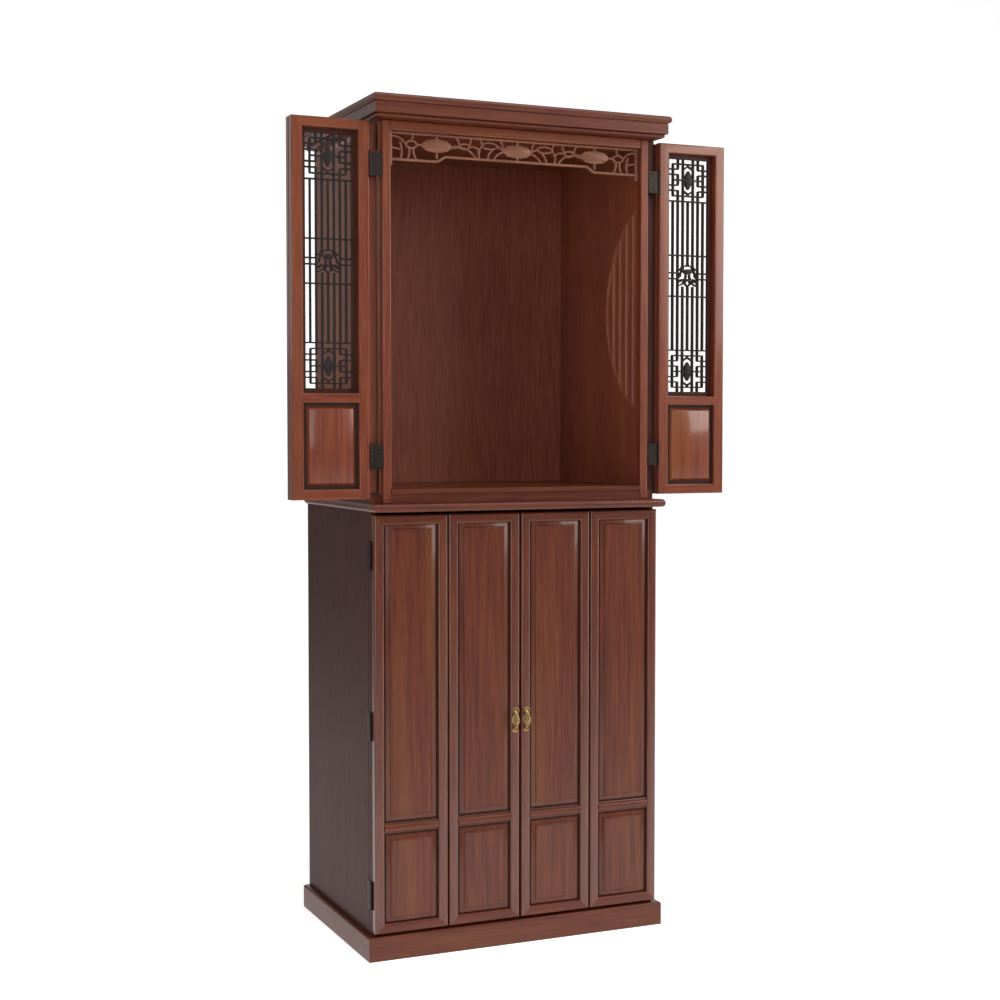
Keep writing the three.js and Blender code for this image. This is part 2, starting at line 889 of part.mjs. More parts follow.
// A pointed oval standing on its tip, turned by an angle about that tip.
function pointedOval(x, z, length, width, angle, steps) {
  const points = [];
  for (let i = 0; i < 2 * steps; i++) {
    const along = i < steps ? i / steps : (2 * steps - i) / steps;
    const across = (width / 2) * Math.sin(Math.PI * along) * (i < steps ? 1 : -1);
    const rise = along * length;
    points.push(
      new THREE.Vector2(
        x + across * Math.cos(angle) + rise * Math.sin(angle),
        z - across * Math.sin(angle) + rise * Math.cos(angle),
      ),
    );
  }
  return standingPlate(new THREE.Shape(points), 0, slatThickness);
}

function latticeGeometry() {
  const half = (latticeColumns / 2) * columnPitch;
  const innerHalf = half - slatWidth / 2;
  const frameHalfWidth = upperOpeningWidth / 2 - jointGap;
  const frameHalfHeight = latticeOpeningHeight / 2 - jointGap;
  const border = frameHalfWidth - innerHalf;
  const topRow = frameHalfHeight - border + slatWidth / 2;
  const rowPitch = blockHeight / latticeColumns;
  const middleHalf = middleBlockHeight / 2;
  const column = (i) => (i - latticeColumns / 2) * columnPitch;
  const upright = (i, z0, z1) =>
    latticeBar(
      column(i) - slatWidth / 2,
      column(i) + slatWidth / 2,
      Math.min(z0, z1),
      Math.max(z0, z1),
    );
  const level = (i0, i1, z) =>
    latticeBar(column(i0), column(i1), z - slatWidth / 2, z + slatWidth / 2);

  const outline = rectanglePath(
    new THREE.Shape(),
    -frameHalfWidth,
    frameHalfWidth,
    -frameHalfHeight,
    frameHalfHeight,
  );
  outline.holes.push(
    rectanglePath(
      new THREE.Path(),
      -innerHalf,
      innerHalf,
      -topRow + slatWidth / 2,
      topRow - slatWidth / 2,
    ),
  );
  const pieces = [standingPlate(outline, 0, slatThickness)];

  for (const sign of [-1, 1]) {
    const row = (i) => sign * (topRow - i * rowPitch);
    const blockEdge = row(latticeColumns);
    // Separators on both sides of the long plain stretch, and the uprights between them.
    pieces.push(level(0, 8, blockEdge), level(0, 8, sign * middleHalf));
    for (let i = 1; i < latticeColumns; i++) {
      pieces.push(upright(i, blockEdge, sign * middleHalf));
    }
    // Ornamental block: an inner square, through bars, broken bars and a pointed oval.
    pieces.push(level(1, 7, row(1)), level(1, 7, row(7)));
    for (const i of [1, 7]) {
      pieces.push(upright(i, row(1), row(7)));
    }
    for (const i of [3, 5]) {
      pieces.push(upright(i, row(0), row(8)));
    }
    for (const i of [2, 6]) {
      pieces.push(upright(i, row(0), row(2)), upright(i, row(6), row(8)));
    }
    pieces.push(pointedOval(0, row(4) - almondLength / 2, almondLength, almondWidth, 0, 3));
    pieces.push(level(3, 5, row(4)));
  }

  // Middle block: uprights that run to a lotus, whose petals fan out from its waist.
  for (const i of [1, 2, 6, 7]) {
    pieces.push(upright(i, -middleHalf, middleHalf));
  }
  for (const i of [3, 4, 5]) {
    pieces.push(upright(i, lotusTopReach, middleHalf), upright(i, -middleHalf, -lotusBottomReach));
  }
  for (const turn of [-2, -1, 0, 1, 2]) {
    const angle = THREE.MathUtils.degToRad(turn * petalSpread);
    pieces.push(pointedOval(0, -lotusWaist, petalLength, petalWidth, angle, 3));
  }
  const footTop = lotusFootLap - lotusWaist;
  const footLength = lotusFootLength + lotusFootLap;
  pieces.push(pointedOval(0, footTop, footLength, petalWidth, Math.PI, 3));
  return geometryFrom(joinAll(pieces));
}
const lattice = latticeGeometry();

// One upper leaf in its own frame: x along the leaf, y from the outer face inwards, z up.
function upperLeaf(name) {
  const leaf = new THREE.Group();
  const openingX = { x0: upperStile, x1: upperLeafWidth - upperStile };
  const panelOpening = { ...openingX, z0: upperBottomRail, z1: upperBottomRail + upperPanelHeight };
  const latticeOpening = {
    ...openingX,
    z0: upperOpeningBottom,
    z1: upperLeafHeight - upperTopRail,
  };
  addPiece(
    leaf,
    name + "_frame",
    leafFrame(
      upperLeafWidth,
      upperLeafHeight,
      upperLeafThickness,
      [panelOpening, latticeOpening],
      leafEdge,
    ),
    walnut,
  );
  const grille = addPiece(leaf, name + "_grille", lattice, latticeBrown);
  grille.position.set(
    (openingX.x0 + openingX.x1) / 2,
    latticeFaceInset,
    (latticeOpening.z0 + latticeOpening.z1) / 2,
  );
  addPiece(
    leaf,
    name + "_panel",
    raisedPanel(
      panelOpening,
      leafEdge,
      upperLeafThickness - leafEdge,
      upperFieldInset,
      upperRimDepth,
      true,
    ),
    walnutLight,
  );
  leaf.position.z = upperLeafBottom;
  cabinet.add(leaf);
  return leaf;
}

// Outer leaves stand turned half round, so that their inner faces look forward.
const leftOuter = upperLeaf("left_outer_leaf");
leftOuter.rotation.z = Math.PI;
leftOuter.position.x = -leafHingeEdge;
leftOuter.position.y = frontPlane + outerLeafBack;
const rightOuter = upperLeaf("right_outer_leaf");
rightOuter.rotation.z = Math.PI;
rightOuter.position.x = leafFoldEdge;
rightOuter.position.y = frontPlane + outerLeafBack;

// Inner leaves are folded behind them.
const leftInner = upperLeaf("left_inner_leaf");
leftInner.position.x = -leafFoldEdge;
leftInner.position.y = frontPlane + innerLeafFront;
const rightInner = upperLeaf("right_inner_leaf");
rightInner.position.x = leafHingeEdge;
rightInner.position.y = frontPlane + innerLeafFront;

// Meeting strip on the free edge of the left inner leaf: a body and a lapping flange.
const stripBottom = upperLeafBottom + stripLift;
const stripHeight = upperLeafHeight - stripLift - stripTopDrop;
const stripStart = -leafHingeEdge + jointGap;
const stripBodyEnd = stripStart + stripBodyWidth;
const flangeEnd = stripStart + stripLap;
const flangeFront = innerLeafFront - stripThickness;
const flangeBack = innerLeafFront - stripFaceGap;
const stripShape = new THREE.Shape();
stripShape.moveTo(stripStart, flangeFront);
stripShape.lineTo(flangeEnd - stripEdge, flangeFront);
stripShape.lineTo(flangeEnd, flangeFront + stripEdge);
stripShape.lineTo(flangeEnd, flangeBack);
stripShape.lineTo(stripBodyEnd, flangeBack);
stripShape.lineTo(stripBodyEnd, innerLeafFront + upperLeafThickness);
stripShape.lineTo(stripStart, innerLeafFront + upperLeafThickness);
stripShape.closePath();
const strip = new THREE.ExtrudeGeometry(stripShape, { depth: stripHeight, bevelEnabled: false });
strip.translate(0, frontPlane, stripBottom);
addPiece(cabinet, "meeting_strip", strip, walnutLight);

// Flush bolts on the edge of the strip, one at each end.
for (const [place, z0] of [
  ["top", stripBottom + stripHeight - boltLength - boltInset],
  ["bottom", stripBottom + boltInset],
]) {
  addPiece(
    cabinet,
    "left_" + place + "_bolt",
    board(
      flangeEnd + jointGap,
      flangeEnd + jointGap + boltThickness,
      flangeFront,
      flangeBack,
      z0,
      z0 + boltLength,
    ),
    steel,
  );
}

// A turned bar about an upright axis: levels are [radius, height] from below.
function turnedBar(x, depth, levels) {
  const rings = levels.map(([radius, z]) =>
    Array.from({ length: knuckleSides }, (_, k) => {
      const angle = (2 * Math.PI * k) / knuckleSides;
      return [x + radius * Math.cos(angle), frontPlane + depth + radius * Math.sin(angle), z];
    }),
  );
  return ringsToGeometry(rings, false);
}

// Upper hinges: a knuckle with tapered tips on the turning axis, and a plate towards the stile.
function upperHingeGeometry(sign, z0) {
  const z1 = z0 + upperHingeLength;
  const knuckle = turnedBar(sign * axisX, axisY, [
    [upperHingeTipRadius, z0],
    [upperHingeRadius, z0 + upperHingeTipLength],
    [upperHingeRadius, z1 - upperHingeTipLength],
    [upperHingeTipRadius, z1],
  ]);
  const plateX = [sign * (nicheHalf + jointGap), sign * (axisX - upperHingeRadius / 2)];
  const plateFront = axisY + upperHingePlateSetback;
  const plate = board(
    Math.min(...plateX),
    Math.max(...plateX),
    plateFront,
    plateFront + upperHingePlateThickness,
    z0 + upperHingeTipLength,
    z1 - upperHingeTipLength,
  );
  return geometryFrom(joinAll([plate, knuckle]));
}
for (const [side, sign] of [
  ["left", -1],
  ["right", 1],
]) {
  const topHingeBottom = upperLeafTop - upperHingeInset - upperHingeLength;
  addPiece(cabinet, side + "_upper_hinge_1", upperHingeGeometry(sign, topHingeBottom), steel);
  const lowHingeBottom = upperLeafBottom + upperHingeInset;
  addPiece(cabinet, side + "_upper_hinge_2", upperHingeGeometry(sign, lowHingeBottom), steel);
}

// Lower leaves: a frame with two raised panels and a rounded bead on the rail between them.
const lowerPanelTop = lowerBottomRail + lowerPanelHeight;
function lowerLeaf(name, x0) {
  const leaf = new THREE.Group();
  const openingX = { x0: lowerStile, x1: lowerLeafWidth - lowerStile };
  const lowerOpening = { ...openingX, z0: lowerBottomRail, z1: lowerPanelTop };
  const upperOpening = {
    ...openingX,
    z0: lowerPanelTop + lowerMidRail,
    z1: lowerDoorHeight - lowerTopRail,
  };
  const bead = new THREE.CylinderGeometry(1, 1, openingX.x1 - openingX.x0, knuckleSides);
  bead.rotateZ(Math.PI / 2);
  bead.scale(1, midRailBeadDepth, midRailBeadHeight / 2);
  bead.translate(lowerLeafWidth / 2, midRailBeadSetback, lowerPanelTop + lowerMidRail / 2);
  const frame = solidFrom(
    leafFrame(
      lowerLeafWidth,
      lowerDoorHeight,
      lowerLeafThickness,
      [lowerOpening, upperOpening],
      leafEdge,
    ),
  );
  addPiece(leaf, name + "_frame", geometryFrom(frame.add(solidFrom(bead))), walnut);
  for (const [place, opening] of [
    ["lower", lowerOpening],
    ["upper", upperOpening],
  ]) {
    addPiece(
      leaf,
      name + "_" + place + "_panel",
      raisedPanel(
        opening,
        lowerFieldSetback,
        lowerLeafThickness - leafEdge,
        lowerFieldInset,
        lowerRimDepth,
        false,
      ),
      walnutLight,
    );
  }
  leaf.position.set(x0, frontPlane, lowerDoorBottom);
  cabinet.add(leaf);
}
const lowerStep = lowerLeafWidth + lowerFoldGap;
lowerLeaf("lower_left_outer_leaf", -lowerDoorHalf);
lowerLeaf("lower_left_inner_leaf", -lowerDoorHalf + lowerStep);
lowerLeaf("lower_right_inner_leaf", centreGap / 2);
lowerLeaf("lower_right_outer_leaf", centreGap / 2 + lowerStep);

// Door pulls: a lobed plate with a curled pull standing off it.
function pullGeometry(centreX) {
  const outline = [];
  const lobeSteps = 8;
  for (let i = 0; i <= lobeSteps; i++) {
    const along = i / lobeSteps;
    const lobe = 1 - pullLobeShare + pullLobeShare * Math.cos(4 * Math.PI * along);
    const halfWidth = (pullWidth / 2) * lobe;
    outline.push([halfWidth * (i === 0 || i === lobeSteps ? 0.5 : 1), along * pullHeight]);
  }
  const shape = new THREE.Shape([
    ...outline.map(([x, z]) => new THREE.Vector2(x, z)),
    ...outline.reverse().map(([x, z]) => new THREE.Vector2(-x, z)),
  ]);
  const plate = standingPlate(shape, -jointGap - pullPlateThickness, pullPlateThickness);
  const path = [];
  const bow = [];
  const bowSteps = 6;
  for (let i = 0; i <= bowSteps; i++) {
    const along = i / bowSteps;
    const z = pullHeight * ((1 - pullBowShare) / 2 + pullBowShare * along);
    const reach = pullPlateThickness + (pullReach - pullPlateThickness) * Math.sin(Math.PI * along);
    bow.push(new THREE.Vector2(-reach, z));
    path.unshift(new THREE.Vector2(-Math.max(reach - pullBarThickness, 0.5), z));
  }
  const bar = new THREE.ExtrudeGeometry(new THREE.Shape([...bow, ...path]), {
    depth: pullWidth * pullBarShare,
    bevelEnabled: false,
  });
  bar.rotateX(Math.PI / 2);
  bar.rotateZ(Math.PI / 2);
  bar.translate((-pullWidth * pullBarShare) / 2, 0, 0);
  const pull = joinAll([plate, bar]);
  const geometry = geometryFrom(pull);
  geometry.translate(centreX, frontPlane, lowerDoorBottom + pullLift - pullHeight / 2);
  return geometry;
}
addPiece(cabinet, "left_pull", pullGeometry(-centreGap / 2 - pullEdgeInset), brass);
addPiece(cabinet, "right_pull", pullGeometry(centreGap / 2 + pullEdgeInset), brass);

// Hinges of the lower doors: a knuckle at the corner and a plate on the side wall.
const topHinge = lowerDoorTop - hingeTopInset;
const bottomHinge = lowerDoorBottom + hingeBottomInset;
const hingeHeights = [topHinge, (topHinge + bottomHinge) / 2, bottomHinge];
for (const [side, sign] of [
  ["left", -1],
  ["right", 1],
]) {
  hingeHeights.forEach((middle, i) => {
    const knuckleX = sign * (lowerDoorHalf + hingeOutset);
    const knuckle = turnedBar(knuckleX, lowerLeafThickness + hingeSetback, [
      [hingeRadius, middle - hingeLength / 2],
      [hingeRadius, middle + hingeLength / 2],
    ]);
    const inner = sign * (bodyHalf + jointGap);
    const outer = sign * (bodyHalf + jointGap + hingePlateThickness);
    const plate = board(
      Math.min(inner, outer),
      Math.max(inner, outer),
      carcassFront,
      carcassFront + hingePlateDepth,
      middle - hingeLength / 2,
      middle + hingeLength / 2,
    );
    addPiece(
      cabinet,
      side + "_hinge_" + (i + 1),
      geometryFrom(joinAll([knuckle, plate])),
      steel,
    );
  });
}

export default cabinet;
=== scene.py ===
import math
import bmesh
import bpy
import numpy as np
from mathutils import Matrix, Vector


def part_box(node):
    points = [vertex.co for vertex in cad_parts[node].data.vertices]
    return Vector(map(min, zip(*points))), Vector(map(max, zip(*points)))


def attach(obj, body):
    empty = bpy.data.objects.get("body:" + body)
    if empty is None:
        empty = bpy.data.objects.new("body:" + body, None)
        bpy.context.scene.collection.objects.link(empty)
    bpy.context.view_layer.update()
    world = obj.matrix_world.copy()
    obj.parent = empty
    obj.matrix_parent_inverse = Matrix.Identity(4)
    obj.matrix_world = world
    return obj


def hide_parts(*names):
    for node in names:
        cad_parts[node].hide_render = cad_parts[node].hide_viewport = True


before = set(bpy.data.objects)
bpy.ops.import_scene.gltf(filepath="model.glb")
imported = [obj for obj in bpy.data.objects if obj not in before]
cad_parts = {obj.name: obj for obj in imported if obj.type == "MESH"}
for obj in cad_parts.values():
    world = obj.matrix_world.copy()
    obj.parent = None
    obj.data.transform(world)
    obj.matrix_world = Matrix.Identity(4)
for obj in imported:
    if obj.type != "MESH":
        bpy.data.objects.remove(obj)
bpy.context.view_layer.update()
mm = 0.001  # every size below is in millimetres and is turned to metres by this
weldReach = 0.002 * mm  # points closer than this are one point
print("frame: loaded", len(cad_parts), "nodes")


# Small helpers

def toLinear(hexColour):
    # an sRGB hex value as linear red, green, blue and alpha
    parts = [int(hexColour[i:i + 2], 16) / 255 for i in (1, 3, 5)]
    linear = [c / 12.92 if c <= 0.04045 else ((c + 0.055) / 1.055) ** 2.4 for c in parts]
    return (*linear, 1.0)


def addNode(tree, kind, settings=None, values=None, links=None):
    # one shader node: its own settings, the plain values of its inputs, and what its inputs are linked from
    node = tree.nodes.new(kind)
    for key, value in (settings or {}).items():
        setattr(node, key, value)
    for key, value in (values or {}).items():
        node.inputs[key].default_value = value
    for key, (source, output) in (links or {}).items():
        tree.links.new(source.outputs[output], node.inputs[key])
    return node


def newMaterial(name):
    # a material whose node tree is empty
    material = bpy.data.materials.new(name)
    material.use_nodes = True
    material.node_tree.nodes.clear()
    return material


def rampStops(node, stops):
    # colour ramp stops as (position, hex)
    ramp = node.color_ramp
    while len(ramp.elements) > 1:
        ramp.elements.remove(ramp.elements[-1])
    for i, (position, hexColour) in enumerate(stops):
        element = ramp.elements[0] if i == 0 else ramp.elements.new(position)
        element.position = position
        element.color = toLinear(hexColour)
    return node


def boxOf(node):
    # a CAD node's box as (x0, x1, y0, y1, z0, z1)
    low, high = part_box(node)
    return low.x, high.x, low.y, high.y, low.z, high.z


def makePiece(name, body, parts, materials, replaced, sharp=32, weld=True):
    # parts is a list of (points, faces, material number); they become one mesh that rides on a body
    # and stands in the place of the CAD nodes it replaces; edges sharper than `sharp` degrees stay crisp
    points, faces, numbers = [], [], []
    start = 0
    for partPoints, partFaces, number in parts:
        partPoints = np.asarray(partPoints, float).reshape(-1, 3)
        points.append(partPoints)
        faces.extend([tuple(int(i) + start for i in face) for face in partFaces])
        numbers.extend([number] * len(partFaces))
        start += len(partPoints)
    mesh = bpy.data.meshes.new(name)
    mesh.from_pydata(np.concatenate(points).tolist(), [], faces)
    mesh.polygons.foreach_set("material_index", numbers)
    for material in materials:
        mesh.materials.append(material)
    work = bmesh.new()
    work.from_mesh(mesh)
    if weld:
        bmesh.ops.remove_doubles(work, verts=work.verts, dist=weldReach)
    bmesh.ops.recalc_face_normals(work, faces=work.faces)
    work.to_mesh(mesh)
    work.free()
    mesh.shade_smooth()
    mesh.set_sharp_from_angle(angle=math.radians(sharp))
    piece = bpy.data.objects.new(name, mesh)
    bpy.context.scene.collection.objects.link(piece)
    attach(piece, body)
    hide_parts(*replaced)
    return piece


def gridFaces(rows, columns, closeColumns=False, closeRows=False, caps=False):
    # quads of a grid of points, row by row, joined round where it closes; caps fill the two end rows
    lastRow = rows if closeRows else rows - 1
    lastColumn = columns if closeColumns else columns - 1
    r, c = np.meshgrid(np.arange(lastRow), np.arange(lastColumn), indexing="ij")
    a = r * columns + c
    b = r * columns + (c + 1) % columns
    d = ((r + 1) % rows) * columns + c
    e = ((r + 1) % rows) * columns + (c + 1) % columns
    faces = np.stack([a, b, e, d], -1).reshape(-1, 4).tolist()
    if caps:
        faces += [list(range(columns)), list(range((rows - 1) * columns, rows * columns))]
    return faces


def arc(centre, radius, fromDegrees, toDegrees, steps):
    # points of a round stretch: centre plus radius times cosine and sine of evenly spaced angles
    t = np.radians(np.linspace(fromDegrees, toDegrees, steps + 1))
    return np.stack([centre[0] + radius * np.cos(t), centre[1] + radius * np.sin(t)], -1)


def uprightRing(rect, profile, y0):
    # a profile of (inset, depth) carried round an upright rectangle with mitred corners
    x0, x1, z0, z1 = rect
    inset, depth = np.asarray(profile, float).T * mm
    signs = np.array([[1, 1], [-1, 1], [-1, -1], [1, -1]])
    corners = np.array([[x0, z0], [x1, z0], [x1, z1], [x0, z1]])
    x = corners[None, :, 0] + signs[None, :, 0] * inset[:, None]
    z = corners[None, :, 1] + signs[None, :, 1] * inset[:, None]
    y = np.repeat((y0 + depth)[:, None], 4, 1)
    return np.stack([x, y, z], -1)


# Materials

def makeWood(name, look):
    # wood grain along one axis: long noise streaks for the figure, finer streaks for pores,
    # and a slow change of tone from board to board
    material = newMaterial(name)
    tree = material.node_tree
    coordinate = addNode(tree, "ShaderNodeTexCoord")
    along = {"X": (1, 0, 0), "Y": (0, 1, 0), "Z": (0, 0, 1)}[look["grain"]]

    def stretched(across, length, shift):
        # a mapping whose pattern is `across` mm wide and `length` mm long along the grain
        scale = [1000 / (length if a else across) for a in along]
        return addNode(tree, "ShaderNodeMapping", {}, {"Scale": scale, "Location": shift},
                       {"Vector": (coordinate, "Object")})

    shift = look["shift"]
    slow = addNode(tree, "ShaderNodeTexNoise", {}, {"Scale": 1.0, "Detail": 2.0, "Roughness": 0.5},
                   {"Vector": (stretched(look["band"], look["band"] * 14, shift), "Vector")})
    figure = addNode(tree, "ShaderNodeTexNoise", {}, {"Scale": 1.0, "Detail": 5.0, "Roughness": 0.62,
                     "Distortion": look["wander"]},
                     {"Vector": (stretched(look["figure"], look["figure"] * 26, shift), "Vector")})
    fine = addNode(tree, "ShaderNodeTexNoise", {}, {"Scale": 1.0, "Detail": 3.0, "Roughness": 0.7},
                   {"Vector": (stretched(look["pore"], look["pore"] * 40, shift), "Vector")})
    figureColour = rampStops(addNode(tree, "ShaderNodeValToRGB", {}, {}, {"Fac": (figure, "Fac")}),
                             [(0.34, look["dark"]), (0.5, look["middle"]), (0.66, look["light"])])
    slowMask = addNode(tree, "ShaderNodeMapRange", {"clamp": True},
                       {"From Min": 0.5, "From Max": 0.72, "To Min": 0.0, "To Max": look["streak"]},
                       {"Value": (slow, "Fac")})
    # inputs 6 and 7 and output 2 are the colour ones of a mix node
    warm = addNode(tree, "ShaderNodeMix", {"data_type": "RGBA"}, {7: toLinear(look["amber"])},
                   {"Factor": (slowMask, "Result"), 6: (figureColour, "Color")})
    poreMask = addNode(tree, "ShaderNodeMapRange", {"clamp": True},
                       {"From Min": 0.56, "From Max": 0.7, "To Min": 0.0, "To Max": look["poreDepth"]},
                       {"Value": (fine, "Fac")})
    pores = addNode(tree, "ShaderNodeMix", {"data_type": "RGBA"}, {7: toLinear(look["pores"])},
                    {"Factor": (poreMask, "Result"), 6: (warm, 2)})
    rough = addNode(tree, "ShaderNodeMapRange", {"clamp": True},
                    {"From Min": 0.3, "From Max": 0.7, "To Min": look["roughness"] - 0.05,
                     "To Max": look["roughness"] + 0.07}, {"Value": (fine, "Fac")})
    bump = addNode(tree, "ShaderNodeBump", {}, {"Strength": look["bump"], "Distance": 0.0004},
                   {"Height": (fine, "Fac")})
    shader = addNode(tree, "ShaderNodeBsdfPrincipled", {},
                     {"IOR": 1.5, "Specular IOR Level": look["specular"], "Coat Weight": look["coat"],
                      "Coat Roughness": look["coatRoughness"]},
                     {"Base Color": (pores, 2), "Roughness": (rough, "Result"), "Normal": (bump, "Normal")})
    addNode(tree, "ShaderNodeOutputMaterial", {}, {}, {"Surface": (shader, "BSDF")})
    return material


def makeMetal(name, look):
    # cast or drawn metal: a plain metallic base with faint tarnish in a fine noise
    material = newMaterial(name)
    tree = material.node_tree
    coordinate = addNode(tree, "ShaderNodeTexCoord")
    mapping = addNode(tree, "ShaderNodeMapping", {}, {"Scale": (1000 / look["spot"],) * 3},
                      {"Vector": (coordinate, "Object")})
    noise = addNode(tree, "ShaderNodeTexNoise", {}, {"Scale": 1.0, "Detail": 3.0},
                    {"Vector": (mapping, "Vector")})
    colour = rampStops(addNode(tree, "ShaderNodeValToRGB", {}, {}, {"Fac": (noise, "Fac")}),
                       [(0.35, look["dark"]), (0.62, look["light"])])
    rough = addNode(tree, "ShaderNodeMapRange", {"clamp": True},
                    {"From Min": 0.3, "From Max": 0.7, "To Min": look["roughness"] + 0.12,
                     "To Max": look["roughness"]}, {"Value": (noise, "Fac")})
    shader = addNode(tree, "ShaderNodeBsdfPrincipled", {}, {"Metallic": 1.0},
                     {"Base Color": (colour, "Color"), "Roughness": (rough, "Result")})
    addNode(tree, "ShaderNodeOutputMaterial", {}, {}, {"Surface": (shader, "BSDF")})
    return material


# Stained walnut under satin lacquer: red-brown, with darker grain, amber streaks and a soft sheen;
# band, figure and pore are the widths of the pattern in mm
walnutLook = {
    "grain": "Z", "shift": (0, 0, 0),
    "dark": "#5c2513", "middle": "#6b2f1a", "light": "#79391f", "amber": "#7d471c", "pores": "#38180d",
    "band": 55, "figure": 5, "pore": 1.3, "wander": 0.25,
    "streak": 0.4, "poreDepth": 0.35, "roughness": 0.42, "bump": 0.1, "specular": 0.3,
    "coat": 0.55, "coatRoughness": 0.13,
}
walnutUp = makeWood("stained walnut, upright grain", walnutLook)
walnutLevel = makeWood("stained walnut, level grain", {**walnutLook, "grain": "X", "shift": (3.1, 0, 1.7)})
panelUp = makeWood("stained walnut panel", {**walnutLook, "shift": (7.3, 0, 2.9), "figure": 7, "band": 62,
                                            "streak": 0.55})
# The lower doors, their panels and the moulded boards took the stain deeper
deepLook = {**walnutLook, "dark": "#471a0b", "middle": "#562210", "light": "#632c15", "amber": "#693a16"}
deepUp = makeWood("deep walnut, upright grain", {**deepLook, "coat": 0.9, "coatRoughness": 0.15})
deepLevel = makeWood("deep walnut, level grain", {**deepLook, "grain": "X", "shift": (3.1, 0, 1.7),
                                                  "coat": 0.2})
deepBack = makeWood("deep walnut, grain front to back", {**deepLook, "grain": "Y", "shift": (5.2, 1.1, 0),
                                                         "coat": 0.2})
deepPanel = makeWood("deep walnut panel", {**deepLook, "shift": (7.3, 0, 2.9), "figure": 7, "band": 62,
                                           "streak": 0.6, "coat": 0.3})
# A much darker, duller copy of the walnut: painted shade for the sides, back and posts, which the lamps light
# less; the lattice borders take it too
shadeDarkWalnut = makeWood("walnut side, painted dark as shade", {**walnutLook, "shift": (1.3, 4.0, 0.4), "dark": "#331812",
                                          "middle": "#3d1e17", "light": "#46251c", "amber": "#442517",
                                          "roughness": 0.5, "specular": 0.15, "coat": 0.03})
nicheUp = makeWood("walnut veneer of the niche", {**walnutLook, "shift": (2.2, 8.0, 6.1), "band": 90,
                                                  "figure": 4, "dark": "#663120", "middle": "#763b28",
                                                  "light": "#83462f", "amber": "#85502c", "coat": 0.1,
                                                  "roughness": 0.5})
# Painted shade in the sunk parts of the mouldings: nearly black brown where the grooves fall into shadow, so
# that the profiles read from afar
quirkShadeWood = makeWood("walnut painted with shade in the quirks", {**walnutLook, "dark": "#1d0e0a", "middle": "#26120d",
                                                      "light": "#301811", "amber": "#2c170e", "coat": 0.05,
                                                      "roughness": 0.6})
# Carved fretwork is left paler and less glossy than the frame round it
fretWood = makeWood("carved walnut", {**walnutLook, "grain": "X", "dark": "#5d3828", "middle": "#774b38",
                                      "light": "#885a44", "amber": "#80522f", "coat": 0.1, "roughness": 0.5})
# Lattice slats are stained almost black, so that they stand out against the light
latticeWood = makeWood("ebonised walnut", {**walnutLook, "dark": "#120a08", "middle": "#1a0f0c",
                                           "light": "#241510", "amber": "#20130d", "pores": "#0c0605",
                                           "coat": 0.05, "roughness": 0.6})
# Steel dark partly with age and partly as painted shade for the shaded gaps it sits in, and brass rubbed
# bright on its high parts
darkSteel = makeMetal("dark steel, partly painted shade", {"dark": "#221d1b", "light": "#423b38", "spot": 3, "roughness": 0.4})
brass = makeMetal("antique brass", {"dark": "#4d3b26", "light": "#c0a070", "spot": 2, "roughness": 0.3})
print("materials: made")

# The finish of each CAD node: the first word found in its name decides
finishes = [
    ("hinge", darkSteel), ("bolt", darkSteel), ("pull", brass), ("grille", latticeWood),
    ("fretwork", fretWood), ("niche_floor", deepLevel), ("niche_ceiling", walnutLevel), ("niche", nicheUp),
    ("base_board", deepLevel), ("top_panel", deepLevel), ("lower_floor", deepLevel), ("_side", shadeDarkWalnut),
    ("lower_back", shadeDarkWalnut), ("post", shadeDarkWalnut), ("header", walnutLevel), ("panel", panelUp), ("", walnutUp),
]
for nodeName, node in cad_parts.items():
    node.data.materials.clear()
    node.data.materials.append(next(finish for word, finish in finishes if word in nodeName))
print("nodes: finished")


# Door leaves

def leafFrame(leaf, openings, look):
    # a frame of stiles and rails: flat faces between its openings, an eased outer edge and a rounded
    # moulding round each opening; rails carry level grain and stiles upright grain;
    # the moulding reaches in by its size times (sine minus one), and back by a share of that size
    # times (one minus cosine)
    x0, x1, y0, y1, z0, z1 = boxOf(f"{leaf}_frame")
    thick = (y1 - y0) / mm
    edge, mould = look["edge"], look["mould"]
    t = np.radians(np.linspace(0, 90, 7))
    outer = np.concatenate([arc((edge, edge), edge, 270, 180, 5),
                            arc((edge, thick - edge), edge, 180, 90, 5)])
    half = np.stack([mould * (np.sin(t) - 1), mould * look["mouldDepth"] * (1 - np.cos(t))], -1)
    inner = np.concatenate([half, half[::-1] * [1, -1] + [0, thick]])
    parts = []
    for rect, profile in [((x0, x1, z0, z1), outer)] + [(opening, inner) for opening in openings]:
        ring = uprightRing(rect, profile, y0)
        upright, level = sideFaces(profile)
        parts += [(ring, upright, 0), (ring, level, 1)]
    # the flat faces: three columns of cells, where the middle one has a rail in every other row
    xs = [x0 + edge * mm, openings[0][0] - mould * mm, openings[0][1] + mould * mm, x1 - edge * mm]
    zs = [z0 + edge * mm]
    for opening in openings:
        zs += [opening[2] - mould * mm, opening[3] + mould * mm]
    zs.append(z1 - edge * mm)
    gx, gz = np.meshgrid(xs, zs)
    cells = gridFaces(len(zs), 4)
    stiles = [cell for i, cell in enumerate(cells) if i % 3 != 1]
    rails = [cell for i, cell in enumerate(cells) if i % 3 == 1 and (i // 3) % 2 == 0]
    for depth in (0, thick):
        flat = np.stack([gx, np.full_like(gx, y0 + depth * mm), gz], -1)
        parts += [(flat, stiles, 0), (flat, rails, 1)]
    makePiece(f"{leaf}_stiles_and_rails", leaf, parts, [walnutUp, walnutLevel], [f"{leaf}_frame"])


def sideFaces(profile, closeRows=False):
    # the faces of a ring in two groups: those on upright sides, then those on level sides
    faces = np.array(gridFaces(len(profile), 4, closeColumns=True, closeRows=closeRows))
    side = np.tile(np.arange(4), len(faces) // 4)
    return faces[side % 2 == 1].tolist(), faces[side % 2 == 0].tolist()


